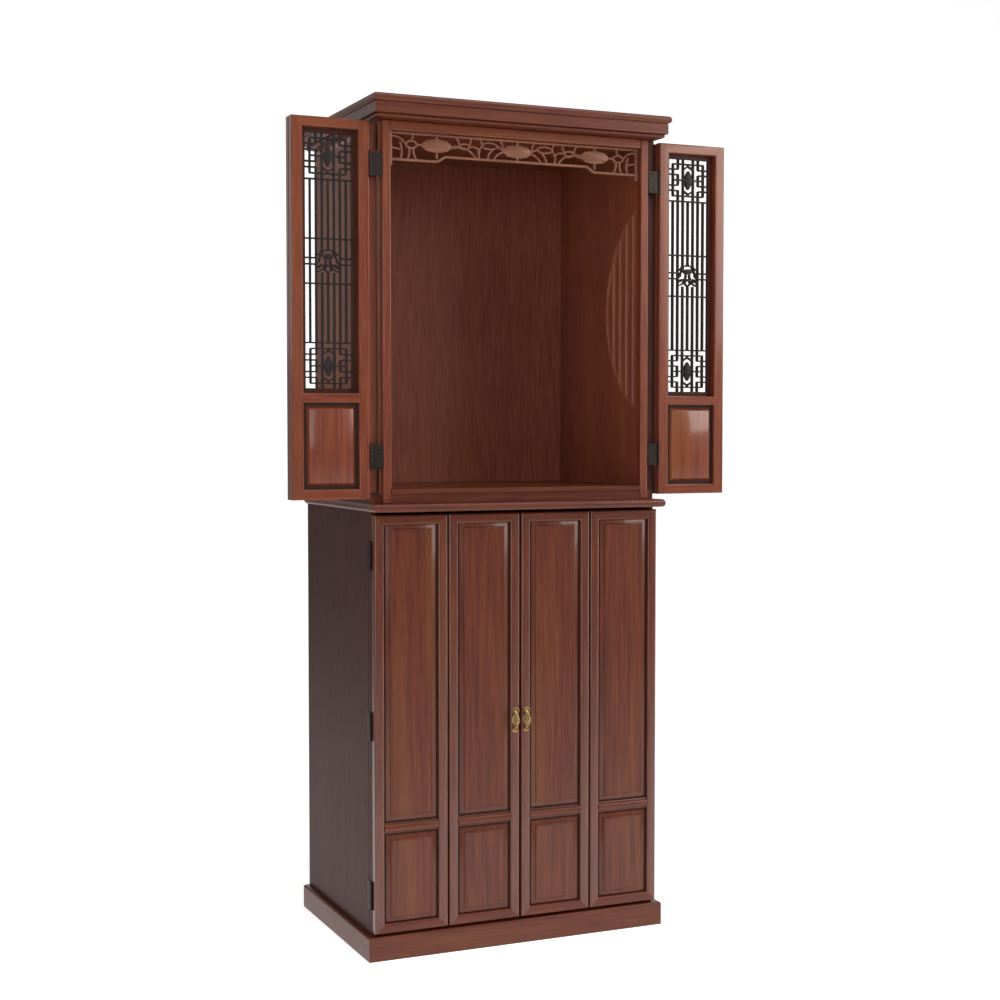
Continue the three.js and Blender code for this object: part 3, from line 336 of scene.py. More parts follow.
def lowerFrame(leaf, openings, look):
    # a mitred frame with a rounded outer edge and a smaller round at its inner edge,
    # and between its stiles a rail whose front is a half-round: depth is the sink times one minus the sine
    x0, x1, _, rear, z0, z1 = boxOf(f"{leaf}_frame")
    front = boxOf("plinth")[2]
    thick = (rear - front) / mm
    width = (openings[0][0] - x0) / mm
    railSink, shoulder = look["railSink"], look["railSink"] + look["railShoulder"]
    outer, inner, crown, backRound = look["outerRound"], look["innerRound"], look["crown"], look["backRound"]
    profile = np.concatenate([
        [(backRound, thick), (0, thick - backRound)],
        arc((outer, outer + crown), outer, 180, 270, 6),
        [(width / 2, 0)],
        arc((width - inner, inner + crown), inner, 270, 360, 6),
        [(width, look["quirk"]), (width + look["lip"], look["quirk"]), (width + look["lip"], look["tongue"]),
         (width, look["tongue"]), (width, thick)],
    ])
    ring = uprightRing((x0, x1, z0, z1), profile, front)
    upright, level = sideFaces(profile, closeRows=True)
    middle = (openings[0][3] + openings[1][2]) / 2
    half = (openings[1][2] - openings[0][3]) / 2 / mm
    t = np.radians(np.linspace(0, 180, 17))
    section = np.concatenate([
        [(-half, thick), (-half, shoulder)],
        np.stack([-look["railHeight"] / 2 * np.cos(t), railSink * (1 - np.sin(t))], -1),
        [(half, shoulder), (half, thick)],
    ])
    ends = np.array([openings[0][0] - look["railTenon"] * mm, openings[0][1] + look["railTenon"] * mm])
    count = len(section)
    rail = np.stack([np.repeat(ends[:, None], count, 1), np.tile(front + section[:, 1] * mm, (2, 1)),
                     np.tile(middle + section[:, 0] * mm, (2, 1))], -1)
    railFaces = gridFaces(2, count, closeColumns=True, caps=True)
    parts = [(ring, upright, 0), (ring, level, 1), (rail, railFaces, 1)]
    makePiece(f"{leaf}_stiles_and_rails", leaf, parts, [deepUp, deepLevel], [f"{leaf}_frame"],
              weld=False)


def raisedPanel(name, leaf, node, look, wood, both=False):
    # a panel whose profile runs from its sunk tongue up a bevel and a small round to a flat field; the faces
    # over the tongue are painted dark as their shade, and `both` gives the back the same profile as the front
    x0, x1, y0, y1, z0, z1 = boxOf(node)
    front = np.array(look["profile"], float)[::-1]
    thick = (y1 - y0) / mm
    sunk = look["tongue"]
    back = np.array([(0, thick)], float)
    if both:
        back = front[::-1] * [1, -1] + [0, thick]
    order = np.concatenate([front, back])
    ring = uprightRing((x0, x1, z0, z1), order, y0)
    faces = np.array(gridFaces(len(order), 4, closeColumns=True))
    inset = np.repeat(np.maximum(order[1:, 0], order[:-1, 0]), 4)
    # faces over the sunk tongue, which get the painted shade
    dark = inset <= sunk
    last = 4 * (len(order) - 1)
    plain = faces[~dark].tolist() + [[0, 1, 2, 3], [last, last + 1, last + 2, last + 3]]
    parts = [(ring, plain, 0), (ring, faces[dark].tolist(), 1)]
    makePiece(name, leaf, parts, [wood, quirkShadeWood], [node])


lowerLeafLook = {"outerRound": 6.0, "innerRound": 5.5, "crown": 0.5, "backRound": 1.0, "quirk": 9.0,
                 "lip": 0.2, "tongue": 11.0, "railHeight": 19, "railSink": 6.5, "railShoulder": 1.5,
                 "railTenon": 0.5}
lowerPanelLook = {"tongue": 4.5, "profile": [(0, 9.5), (4.5, 9.5), (5.0, 7.2), (15.5, 3.4), (16.0, 2.0),
                                             (16.6, 1.1), (17.6, 0.5), (18.8, 0.5), (19.0, 1.0), (19.4, 1.0),
                                             (19.6, 0.4)]}
gap = 0.3 * mm  # between a panel or a grille and the frame round it


def openingFor(node):
    # the opening of a frame that holds a CAD node
    x0, x1, _, _, z0, z1 = boxOf(node)
    return x0 - gap, x1 + gap, z0 - gap, z1 + gap


for pairAndPlace in ("left_outer", "left_inner", "right_inner", "right_outer"):
    leaf = f"lower_{pairAndPlace}_leaf"
    for place in ("lower", "upper"):
        raisedPanel(f"{leaf}_{place}_field", leaf, f"{leaf}_{place}_panel", lowerPanelLook, deepPanel)
    openings = [openingFor(f"{leaf}_{place}_panel") for place in ("lower", "upper")]
    lowerFrame(leaf, openings, lowerLeafLook)
print("lower leaves: made")

upperLeafLook = {"edge": 3.0, "mould": 2.5, "mouldDepth": 0.9}
upperPanelLook = {"tongue": 8.5, "profile": [(0, 7.0), (8.5, 7.0), (9.0, 6.0), (14.0, 1.6), (14.4, 0.6),
                                             (15.6, 0.0)]}
for leaf in ("left_outer_leaf", "left_inner_leaf", "right_outer_leaf", "right_inner_leaf"):
    raisedPanel(f"{leaf}_field", leaf, f"{leaf}_panel", upperPanelLook, panelUp, both=True)
    openings = [openingFor(f"{leaf}_{held}") for held in ("panel", "grille")]
    leafFrame(leaf, openings, upperLeafLook)
print("upper leaves: made")


# Boards with moulded edges

def mouldedBoard(node, outer, inner=(), lip=0):
    # a profile of (inset, height) carried round the front and sides of a board whose rear is flat;
    # an inner profile brings it back down inside all four sides, which makes a frame
    x0, x1, y0, y1, z0, _ = boxOf(node)

    def rings(profile, frameRear):
        inset, height = np.asarray(profile, float).T * mm
        rear = (inset - lip * mm) * frameRear
        x = np.stack([x0 + inset, x1 - inset, x1 - inset, x0 + inset], -1)
        y = np.stack([y0 + inset, y0 + inset, y1 - rear, y1 - rear], -1)
        return np.stack([x, y, np.repeat((z0 + height)[:, None], 4, 1)], -1)

    points = rings(outer, 0)
    closed = len(inner) > 0
    if closed:
        points = np.concatenate([points, rings(inner, 1)])
    count = len(points)
    faces = np.array(gridFaces(count, 4, closeColumns=True, closeRows=closed))
    side = np.tile(np.arange(4), count if closed else count - 1)
    parts = [(points, faces[side % 2 == 0].tolist(), 0), (points, faces[side % 2 == 1].tolist(), 1)]
    if not closed:
        last = 4 * (count - 1)
        parts.append((points, [[0, 1, 2, 3], [last, last + 1, last + 2, last + 3]], 0))
    makePiece(f"{node}_moulded", "cabinet", parts, [deepLevel, deepBack], [node])


def softBoard(node, body, radius, material):
    # a plain board with eased edges
    x0, x1, y0, y1, z0, z1 = boxOf(node)
    corners = np.array([[x, y, z] for z in (z0, z1) for y in (y0, y1) for x in (x0, x1)])
    faces = [[0, 1, 3, 2], [4, 5, 7, 6], [0, 1, 5, 4], [2, 3, 7, 6], [0, 2, 6, 4], [1, 3, 7, 5]]
    piece = makePiece(f"{node}_eased", body, [(corners, faces, 0)], [material], [node], sharp=60)
    ease = piece.modifiers.new("ease", "BEVEL")
    ease.width = radius * mm
    ease.segments = 3
    return piece


waistLook = {"reach": 7, "height": 20}
waistTurn = np.radians(np.linspace(0, 180, 15))
waistRound = np.stack([waistLook["reach"] * (1 - np.sin(waistTurn)),
                       waistLook["height"] / 2 * (1 - np.cos(waistTurn))], -1)
mouldedBoard("waist_board", waistRound)

plinthLook = {"height": 60, "round": 6, "wall": 36}
plinthProfile = np.concatenate([
    [(1.0, 0.0), (0.0, 1.0)],
    arc((plinthLook["round"], plinthLook["height"] - plinthLook["round"]), plinthLook["round"], 180, 90, 6),
])
mouldedBoard("plinth", plinthProfile,
             [(plinthLook["wall"], plinthLook["height"]), (plinthLook["wall"], 0)])

corniceLook = {"height": 54, "bead": 18, "beadReach": 7, "roll": 9, "rollInset": 7, "rollBulge": 3,
               "wall": 24, "rest": 8, "foot": 12, "quirk": 1.3}


def corniceProfile(look):
    # a small roll, a flat frieze with a quirk above it, and a half-round bead;
    # round parts reach out by the sine and rise by half their height times (one minus the cosine)
    t = np.radians(np.linspace(0, 180, 15))
    root = look["beadReach"] + look["rollInset"] + look["rollBulge"]
    roll = np.stack([root - look["rollBulge"] * np.sin(t), look["roll"] / 2 * (1 - np.cos(t))], -1)
    face, quirk = look["beadReach"], look["quirk"]
    beadLow = look["height"] - look["bead"]
    frieze = [(face + 0.8, look["roll"]), (face, look["roll"] + 0.8), (face, beadLow - 2 * quirk),
              (face + quirk, beadLow - 1.5 * quirk), (face + quirk, beadLow - 0.2)]
    bead = np.stack([look["beadReach"] * (1 - np.sin(t)), beadLow + look["bead"] / 2 * (1 - np.cos(t))], -1)
    return np.concatenate([roll, frieze, bead])


corniceWall = corniceLook["wall"] + corniceLook["beadReach"]
corniceRest = corniceWall + corniceLook["rest"]
corniceBeadLow = corniceLook["height"] - corniceLook["bead"]
mouldedBoard("cornice", corniceProfile(corniceLook),
             [(corniceWall, corniceLook["height"]), (corniceWall, corniceBeadLow),
              (corniceRest, corniceBeadLow), (corniceRest, corniceLook["roll"]),
              (corniceRest + corniceLook["foot"], 0)], corniceLook["beadReach"])

softBoard("left_stile", "cabinet", 2.5, walnutUp)
softBoard("right_stile", "cabinet", 2.5, walnutUp)
softBoard("header_rail", "cabinet", 1.2, walnutLevel)
print("mouldings: made")


# Niche side walls with their half-moons of reeds

moonLook = {"radius": 284, "centreInFront": 105, "centreUp": 454, "pitch": 36, "depth": 7.5,
            "halfWidth": 16.8, "tip": 14, "stepAcross": 1.5, "stepUp": 3.0, "margin": 2}


def nicheSide(side, sign, look):
    # hollows between narrow crests, cut off by a circle: the depth below the face is
    # the full depth times the root of (one minus the share across a hollow squared), run out at the circle
    x0, x1, y0, y1, z0, z1 = boxOf(f"niche_{side}_side")
    inner, outer = (x0, x1) if sign > 0 else (x1, x0)
    centreY = boxOf("left_stile")[3] - look["centreInFront"] * mm
    centreZ = boxOf("niche_floor")[5] + look["centreUp"] * mm
    reach = (look["radius"] + look["margin"]) * mm
    across = np.append(np.arange(y0, centreY + reach, look["stepAcross"] * mm), y1)
    up = np.concatenate([[z0], np.arange(centreZ - reach, centreZ + reach, look["stepUp"] * mm), [z1]])
    y, z = np.meshgrid(across, up)
    u = (y - centreY) / mm
    inside = look["radius"] - np.hypot(u, (z - centreZ) / mm)
    fromMiddle = ((u - look["centreInFront"]) % look["pitch"] - look["pitch"] / 2) / look["halfWidth"]
    hollow = np.sqrt(np.clip(1 - fromMiddle ** 2, 0, 1))
    end = np.clip(inside / look["tip"], 0, 1)
    x = inner + sign * look["depth"] * hollow * np.sqrt(end * (2 - end)) * mm
    face = np.stack([x, y, z], -1)
    rear = np.stack([np.full(len(up), outer), np.full(len(up), y1), up], -1)[:, None]
    front = np.stack([np.full(len(up), outer), np.full(len(up), y0), up], -1)[:, None]
    points = np.concatenate([face, rear, front], 1)
    rows, columns = points.shape[:2]
    faces = gridFaces(rows, columns, closeColumns=True, caps=True)
    makePiece(f"niche_{side}_side_reeded", "cabinet", [(points, faces, 0)], [nicheUp],
              [f"niche_{side}_side"], sharp=40)


nicheSide("left", -1, moonLook)
nicheSide("right", 1, moonLook)
print("niche sides: made")


# Strokes and plates that lie in an upright plane

def bend(x0, z0, x1, z1, bow=0.0, steps=8):
    # a curve between two points that bows sideways by a share of its length
    t = np.linspace(0, 1, steps + 1 if bow else 2)[:, None]
    start, end = np.array([x0, z0], float), np.array([x1, z1], float)
    middle = (start + end) / 2 + np.array([-(end - start)[1], (end - start)[0]]) * 2 * bow
    return (1 - t) ** 2 * start + 2 * t * (1 - t) * middle + t ** 2 * end


def stroke(path, width, y0, thick, crown, closed=False):
    # a bar that follows a path, with a half-round front: across is half the width times a cosine,
    # depth is the crown times one minus the sine
    path = np.asarray(path, float)
    if closed:
        along = np.roll(path, -1, 0) - np.roll(path, 1, 0)
    else:
        along = np.gradient(path, axis=0)
    along /= np.linalg.norm(along, axis=1, keepdims=True)
    side = np.stack([-along[:, 1], along[:, 0]], -1)
    t = np.radians(np.linspace(0, 180, 7))
    half = np.broadcast_to(np.asarray(width, float) / 2, len(path))
    acrossShare = np.append(np.cos(t), [-1, 1])
    depth = np.append(crown * (1 - np.sin(t)), [thick, thick])
    place = path[:, None] + side[:, None] * (half[:, None] * acrossShare)[..., None]
    y = np.broadcast_to(depth, place.shape[:2])
    points = np.stack([place[..., 0] * mm, y0 + y * mm, place[..., 1] * mm], -1)
    rows, columns = points.shape[:2]
    return points, gridFaces(rows, columns, closeColumns=True, closeRows=closed, caps=not closed)


def pillow(x, z, outline, y0, thick, crown, relief=None):
    # a plate with a domed front: rings of its outline shrink to the middle and rise by the crown
    # times one minus the share squared, plus a relief worked out from the share and the turn
    outline = np.asarray(outline, float)
    share = np.array([0, 1, 1, 0.96, 0.9, 0.8, 0.7, 0.6, 0.5, 0.4, 0.3, 0.2, 0.1, 0])
    front = np.arange(len(share)) > 1
    turn = np.arctan2(outline[:, 1], outline[:, 0])
    depth = np.where(front, crown * share ** 2, thick)[:, None] + np.zeros(len(outline))
    if relief is not None:
        depth = depth + np.where(front, 1, 0)[:, None] * relief(share[:, None], turn[None, :])
    place = outline[None] * share[:, None, None] + [x, z]
    points = np.stack([place[..., 0] * mm, y0 + depth * mm, place[..., 1] * mm], -1)
    return points, gridFaces(len(share), len(outline), closeColumns=True)


def lens(halfWidth, halfHeight, steps=32):
    # a pointed oval: height follows the sine, width the square of the cosine
    t = np.radians(np.arange(steps) * 360 / steps)
    return np.stack([halfWidth * np.sign(np.cos(t)) * np.cos(t) ** 2, halfHeight * np.sin(t)], -1)


def oval(halfWidth, halfHeight, steps=32):
    t = np.radians(np.arange(steps) * 360 / steps)
    return np.stack([halfWidth * np.cos(t), halfHeight * np.sin(t)], -1)


def barSet(bars, y0, thick, chamfer=0.45):
    # straight bars from rows of (x0, z0, x1, z1, width, set back), each with eight eased sides
    rows = np.asarray(bars, float)
    start, end = rows[:, 0:2], rows[:, 2:4]
    along = (end - start) / np.linalg.norm(end - start, axis=1, keepdims=True)
    side = np.stack([-along[:, 1], along[:, 0]], -1)
    half, back = rows[:, 4] / 2, rows[:, 5]
    edge = np.array([-1, -1, -1, 1, 1, 1, 1, -1])
    across = edge * half[:, None] + np.array([0, 0, 1, -1, 0, 0, -1, 1]) * chamfer
    depth = np.array([chamfer, thick - chamfer, thick, thick, thick - chamfer, chamfer, 0, 0])
    deep = depth * (1 - 2 * back[:, None] / thick) + back[:, None]
    ends = np.stack([start, end], 1)
    place = ends[:, :, None] + side[:, None, None] * across[:, None, :, None]
    y = np.broadcast_to(deep[:, None], place.shape[:3])
    points = np.stack([place[..., 0] * mm, y0 + y * mm, place[..., 1] * mm], -1)
    one = np.array(gridFaces(2, 8, closeColumns=True))
    caps = np.array([np.arange(8), np.arange(8, 16)])
    first = (np.arange(len(rows)) * 16)[:, None, None]
    faces = (one[None] + first).reshape(-1, 4).tolist() + (caps[None] + first).reshape(-1, 8).tolist()
    return points, faces


# Lattice grilles

latticeLook = {"slat": 3.6, "pitch": 15, "columns": 8, "block": 110.3, "middle": 106.6, "crossSetBack": 0.15,
               "almond": (10, 25), "almondProud": 0.4, "almondCrown": 1.2, "chevronGap": 5, "chevronDrop": 9,
               "sideTie": 7.5, "lotusTop": 27, "lotusMiddle": 25, "lotusLine": 2.8, "lotusCrown": 0.8,
               "pod": (12.5, 7), "podUp": 11.5, "podProud": 0.3, "podCrown": 1.4}
lotusLines = [  # from x, z to x, z, and how far the line bows; each is drawn on both sides of the middle
    (0, 26, 13, 26, 0.03), (13, 26, 17, 13, -0.08), (0, 34, 6, 26, -0.15), (15, 28, 25, 15.5, -0.12),
    (25, 15.5, 17, 13, -0.1), (17, 13, 22, -1, 0.12), (22, -1, 31, -11, 0.1), (6.5, 4.5, 9.5, -8.5, -0.2),
    (0, -8.5, 17, -8.5, 0), (17, -8.5, 28, -15.5, 0.12), (17, -8.5, 28, -15.5, -0.22),
    (28, -15.5, 28, -25.5, 0.1), (9, -11, 28, -25.5, -0.14), (9, -11, 12, -22, 0.1), (8, -19, 0, -26, 0.1),
    (8, -19, 3, -11, -0.1),
]


def lattice(leaf, look):
    x0, x1, y0, y1, z0, z1 = boxOf(f"{leaf}_grille")
    thick = (y1 - y0) / mm
    middleX, middleZ = (x0 + x1) / 2, (z0 + z1) / 2
    slat, back = look["slat"], look["crossSetBack"]
    halfWidth, halfHeight = (x1 - x0) / 2 / mm, (z1 - z0) / 2 / mm
    border = halfWidth - (look["columns"] / 2 * look["pitch"] - slat / 2)
    topRow = halfHeight - border + slat / 2
    rowPitch = look["block"] / look["columns"]
    middle = look["middle"] / 2
    bars, edges = [], []

    def column(i):
        return (i - look["columns"] / 2) * look["pitch"]

    def upright(i, za, zb):
        bars.append((column(i), za, column(i), zb, slat, 0))

    def level(i0, i1, z):
        bars.append((column(i0), z, column(i1), z, slat, back))

    edgeX, edgeZ = halfWidth - border / 2, halfHeight - border / 2
    for sign in (-1, 1):
        edges.append((sign * edgeX, -halfHeight, sign * edgeX, halfHeight, border, 0))
        edges.append((-edgeX, sign * edgeZ, edgeX, sign * edgeZ, border, back))
        row = [sign * (topRow - i * rowPitch) for i in range(look["columns"] + 1)]
        level(0, 8, row[8])
        level(0, 8, sign * middle)
        for i in range(1, look["columns"]):
            upright(i, row[8], sign * middle)
        level(1, 7, row[1])
        level(1, 7, row[7])
        for i in (1, 7):
            upright(i, row[1], row[7])
            upright(i, 0, sign * middle)
        for i in (3, 5):
            upright(i, row[0], row[8])
            upright(i, sign * look["lotusTop"], sign * middle)
        for i in (2, 6):
            upright(i, row[0], row[2])
            upright(i, row[3], row[5])
            upright(i, row[6], row[8])
            upright(i, 0, sign * middle)
        upright(4, sign * look["lotusMiddle"], sign * middle)
        for i in (2, 3, 5, 6):
            level(0, 2, row[i])
            level(6, 8, row[i])
        level(1, 3, row[4])
        level(5, 7, row[4])
        level(3, 5, row[4])
        level(0, 2, sign * look["sideTie"])
        level(6, 8, sign * look["sideTie"])
        for edgeRow, towards in ((row[1], -1), (row[7], 1)):
            peak = edgeRow + towards * sign * look["chevronGap"]
            foot = peak + towards * sign * look["chevronDrop"]
            for side in (-1, 1):
                bars.append((0, peak, column(5) * side, foot, slat, back / 2))
            bars.append((0, edgeRow, 0, peak, slat, 0))
    parts = [(*barSet(bars, y0, thick), 0), (*barSet(edges, y0, thick), 1)]
    for sign in (-1, 1):
        centre = sign * (topRow - 4 * rowPitch)
        parts.append((*pillow(0, centre, lens(*look["almond"]), y0 - look["almondProud"] * mm, thick,
                              look["almondCrown"]), 0))
    for side in (-1, 1):
        for xa, za, xb, zb, bow in lotusLines:
            line = bend(side * xa, za, side * xb, zb, side * bow)
            parts.append((*stroke(line, look["lotusLine"], y0, thick, look["lotusCrown"]), 0))
    parts.append((*pillow(0, look["podUp"], oval(*look["pod"]), y0 - look["podProud"] * mm, thick,
                          look["podCrown"]), 0))
    middle = [middleX, 0, middleZ]
    shifted = [(points.reshape(-1, 3) + middle, faces, number) for points, faces, number in parts]
    makePiece(f"{leaf}_lattice", leaf, shifted, [latticeWood, shadeDarkWalnut],
              [f"{leaf}_grille"], weld=False)


for leaf in ("left_outer_leaf", "left_inner_leaf", "right_outer_leaf", "right_inner_leaf"):
    lattice(leaf, latticeLook)
print("lattice: made")


# Fretwork valance

fretLook = {"border": 6, "end": 9, "endDrop": 82, "endProud": 0.05, "drop": 70, "middleDrop": 57,
            "stepFrom": 190, "stepTo": 218, "medallion": (40, 16), "proud": 1.2, "dome": 3.4,
            "scallop": 0.035, "petals": 14, "petalDepth": 0.9, "spacing": 216, "centreDrop": 29,
            "stem": 4.5, "stemBack": 0.3, "ringBack": 0.1, "bayBack": 0.2, "bayStep": 0.04, "crown": 1.6}
bayRings = [(0.26, 0.31, 0.165, 0.22), (0.76, 0.44, 0.105, 0.2)]  # along, down, half length, half height
endRings = [(0.35, 0.4, 0.21, 0.19)]
bayStems = [  # from along, down to along, down, and how far the stem bows
    (0, 0.5, 0.11, 0.31, 0.05), (0, 0.45, 0.05, -0.05, 0.1), (0, 0.6, 0.18, 1.05, 0.1),
    (0.41, 0.31, 0.46, -0.05, 0.1), (0.41, 0.31, 0.46, 1.05, 0.15), (0.45, 0.66, 0.67, 0.46, 0.2),
    (0.63, -0.05, 0.68, 0.42, -0.1), (0.53, 1.05, 1, 0.6, 0.2), (0.85, 0.44, 1, 0.5, 0.05),
    (0.85, 0.44, 0.93, -0.05, 0.1), (0.2, 0.52, 0.3, 1.05, 0.12),
]
endStems = [
    (0, 0.4, 0.16, 0.4, 0.05), (0.35, 0.24, 0.3, -0.05, 0.1), (0.28, 0.56, 0.16, 1.05, 0.1),
    (0.42, 0.56, 0.5, 1.05, -0.1), (0.54, 0.4, 1.05, 0.1, 0.15), (0.74, 0.32, 0.72, 1.05, -0.1),
    (0.73, 0.66, 1.05, 0.6, 0.1),
]


def fretwork(look):
    _, x1, y0, y1, _, z1 = boxOf("fretwork")
    thick = (y1 - y0) / mm
    half, top = x1 / mm, z1 / mm
    crown, border = look["crown"], look["border"]
    lowEnd, lowMiddle = top - look["drop"] + border / 2, top - look["middleDrop"] + border / 2
    centre = top - look["centreDrop"]
    parts = []

    def add(path, width, closed=False, back=0.0):
        parts.append((*stroke(path, width, y0 + back * mm, thick - back, crown, closed), 0))

    add([(-half, top - border / 2), (half, top - border / 2)], border)
    t = np.linspace(0, 1, 13)
    step = np.stack([look["stepFrom"] + (look["stepTo"] - look["stepFrom"]) * t,
                     lowMiddle + (lowEnd - lowMiddle) * t * t * (3 - 2 * t)], -1)
    right = np.concatenate([[(0, lowMiddle)], step, [(half, lowEnd)]])
    add(np.concatenate([(right * [-1, 1])[::-1], right[1:]]), border)

    def petals(share, turn):
        # rows of shallow petals that ripple round the medallion, deeper towards its rim
        return look["petalDepth"] * share * np.cos(look["petals"] * turn) * np.sin(3 * math.pi * share) ** 2

    def medallion(x):
        rim = oval(*look["medallion"], 56)
        turn = np.arctan2(rim[:, 1], rim[:, 0])
        scallop = 1 + look["scallop"] * np.cos(look["petals"] * turn)
        parts.append((*pillow(x, centre, rim * scallop[:, None], y0 - look["proud"] * mm, thick, look["dome"],
                              petals), 0))

    medallion(0)
    add([(0, top - border / 2), (0, centre)], look["stem"], back=look["stemBack"])
    add([(0, centre), (0, lowMiddle)], look["stem"], back=look["stemBack"])
    for sign in (-1, 1):
        middle = sign * look["spacing"]
        medallion(middle)
        add([(middle, top - border / 2), (middle, (lowMiddle + lowEnd) / 2)], look["stem"],
            back=look["stemBack"])
        stile = sign * (half - look["end"] / 2)
        add([(stile, top), (stile, top - look["endDrop"])], look["end"], back=-look["endProud"])
        reach = look["medallion"][0]
        for begin, finish, low, rings, stems in (
            (reach, look["spacing"] - reach, lowMiddle, bayRings, bayStems),
            (look["spacing"] + reach, half - look["end"], lowEnd, endRings, endStems),
        ):
            clearTop = top - border
            clearHeight = clearTop - low - border / 2
            length = finish - begin
            for along, down, halfLength, halfHeight in rings:
                ring = oval(halfLength * length - look["stem"] / 2,
                            halfHeight * clearHeight - look["stem"] / 2, 28)
                place = [sign * (begin + length * along), clearTop - clearHeight * down]
                add(ring + place, look["stem"], closed=True, back=look["ringBack"])
            for number, (a0, d0, a1, d1, bow) in enumerate(stems):
                line = bend(sign * (begin + length * a0), clearTop - clearHeight * d0,
                            sign * (begin + length * a1), clearTop - clearHeight * d1, sign * bow)
                add(line, look["stem"], back=look["bayBack"] + look["bayStep"] * number)
    makePiece("fretwork_carved", "cabinet", parts, [fretWood], ["fretwork"], weld=False,
              sharp=50)


fretwork(fretLook)
print("fretwork: made")


# Metalwork

def turned(x, y, profile, steps=20):
    # a profile of (radius, height) turned about an upright axis
    radius, height = np.asarray(profile, float).T * mm
    t = np.radians(np.arange(steps) * 360 / steps)
    points = np.stack([x + radius[:, None] * np.cos(t), y + radius[:, None] * np.sin(t),
                       np.repeat(height[:, None], steps, 1)], -1)
    return points, gridFaces(len(radius), steps, closeColumns=True, caps=True)


def knuckleProfile(z0, z1, radius, leaves, tip):
    # a hinge barrel of several leaves parted by fine grooves, with a ball at each end when tip is given
    groove = 0.45
    profile = arc((0, z0 + tip / 2), tip / 2, -80, 60, 6).tolist() if tip else []
    cuts = np.linspace(z0 + tip, z1 - tip, leaves + 1)
    for a, b in zip(cuts[:-1], cuts[1:]):
        profile += [(radius - groove, a), (radius, a + groove), (radius, b - groove), (radius - groove, b)]
    if tip:
        profile += arc((0, z1 - tip / 2), tip / 2, -60, 80, 6).tolist()
    return profile


def plate(x0, x1, y0, y1, z0, z1, edge=0.5):
    # a thin plate with eased edges all round: its outline shrinks by the edge on both faces
    def ring(y, inset):
        return [(x0 + inset, y, z0 + inset), (x1 - inset, y, z0 + inset), (x1 - inset, y, z1 - inset),
                (x0 + inset, y, z1 - inset)]
    rings = np.array([ring(y0, edge), ring(y0 + edge, 0), ring(y1 - edge, 0), ring(y1, edge)]) * mm
    return rings, gridFaces(4, 4, closeColumns=True, caps=True)


def screwHead(x, y, z, radius, along, out):
    # a domed head: rings shrink as they rise out of the plate along one axis
    share = np.array([1.0, 0.95, 0.8, 0.55, 0.25, 0.02])
    rise = np.array([0.0, 0.25, 0.45, 0.6, 0.68, 0.7]) * out
    steps = 14
    t = np.radians(np.arange(steps) * 360 / steps)
    a, b = radius * share[:, None] * np.cos(t), radius * share[:, None] * np.sin(t)
    r = np.repeat(rise[:, None], len(t), 1)
    points = np.stack([x + a, y + r, z + b] if along == "Y" else [x + r, y + a, z + b], -1) * mm
    return points, gridFaces(len(share), steps, closeColumns=True, caps=True)


# The screws are given as (share of the height, distance along the plate)
upperHingeLook = {"radius": 3, "tip": 5, "leaves": 5, "plate": 2.5, "setBack": 0.5, "screw": 3.2,
                  "screws": ((0.2, 15), (0.5, 9), (0.8, 15))}
lowerHingeLook = {"radius": 3, "leaves": 3, "plate": 2, "plateBack": 1.5, "clear": 0.3, "screw": 3.0,
                  "screws": ((0.14, 19), (0.5, 13), (0.86, 19))}


def upperHinge(side, sign, number, look):
    node = f"{side}_upper_hinge_{number}"
    x0, x1, y0, _, z0, z1 = [v / mm for v in boxOf(node)]
    axisX = (x1 - look["radius"]) if sign > 0 else (x0 + look["radius"])
    axisY = y0 + look["radius"]
    stileX = x0 if sign > 0 else x1
    barrel = knuckleProfile(z0, z1, look["radius"], look["leaves"], look["tip"])
    parts = [(*turned(axisX * mm, axisY * mm, barrel), 0)]
    front = axisY + look["setBack"]
    edges = sorted((stileX, axisX - sign * look["radius"] / 2))
    parts.append((*plate(*edges, front, front + look["plate"], z0 + look["tip"], z1 - look["tip"]), 0))
    for share, along in look["screws"]:
        parts.append((*screwHead(stileX + sign * along, front, z0 + (z1 - z0) * share, look["screw"],
                                 "Y", -1), 0))
    makePiece(f"{node}_turned", "cabinet", parts, [darkSteel], [node], sharp=35)


def lowerHinge(side, sign, number, look):
    node = f"{side}_hinge_{number}"
    x0, x1, y0, y1, z0, z1 = [v / mm for v in boxOf(node)]
    inner = x0 if sign > 0 else x1
    axisX = inner + sign * look["radius"]
    axisY = y0 + look["radius"]
    barrel = knuckleProfile(z0, z1, look["radius"], look["leaves"], 0)
    parts = [(*turned(axisX * mm, axisY * mm, barrel), 0)]
    near = inner + sign * look["clear"]
    edges = sorted((near, near + sign * look["plate"]))
    parts.append((*plate(*edges, axisY + look["plateBack"], y1, z0, z1), 0))
    for share, along in look["screws"]:
        parts.append((*screwHead(near + sign * look["plate"], axisY + along, z0 + (z1 - z0) * share,
                                 look["screw"], "X", sign), 0))
    makePiece(f"{node}_turned", "cabinet", parts, [darkSteel], [node], sharp=35)


for side, sign in (("left", -1), ("right", 1)):
    for number in (1, 2):
        upperHinge(side, sign, number, upperHingeLook)
    for number in (1, 2, 3):
        lowerHinge(side, sign, number, lowerHingeLook)
print("hinges: made")

pullLook = {"lobe": 0.38, "tip": 0.06, "tipShare": 0.12, "plate": 2.5, "ripple": 0.18, "ripples": 13,
            "bar": 5, "barBack": 1, "foot": 0.1, "bow": (0.42, 0.16, 0.12), "bud": 0.1, "buds": 9,
            "ring": 4.2, "wire": 2.2, "wireThick": 3, "wireCrown": 1.1, "ringDrop": 9, "ringOut": 5.5}


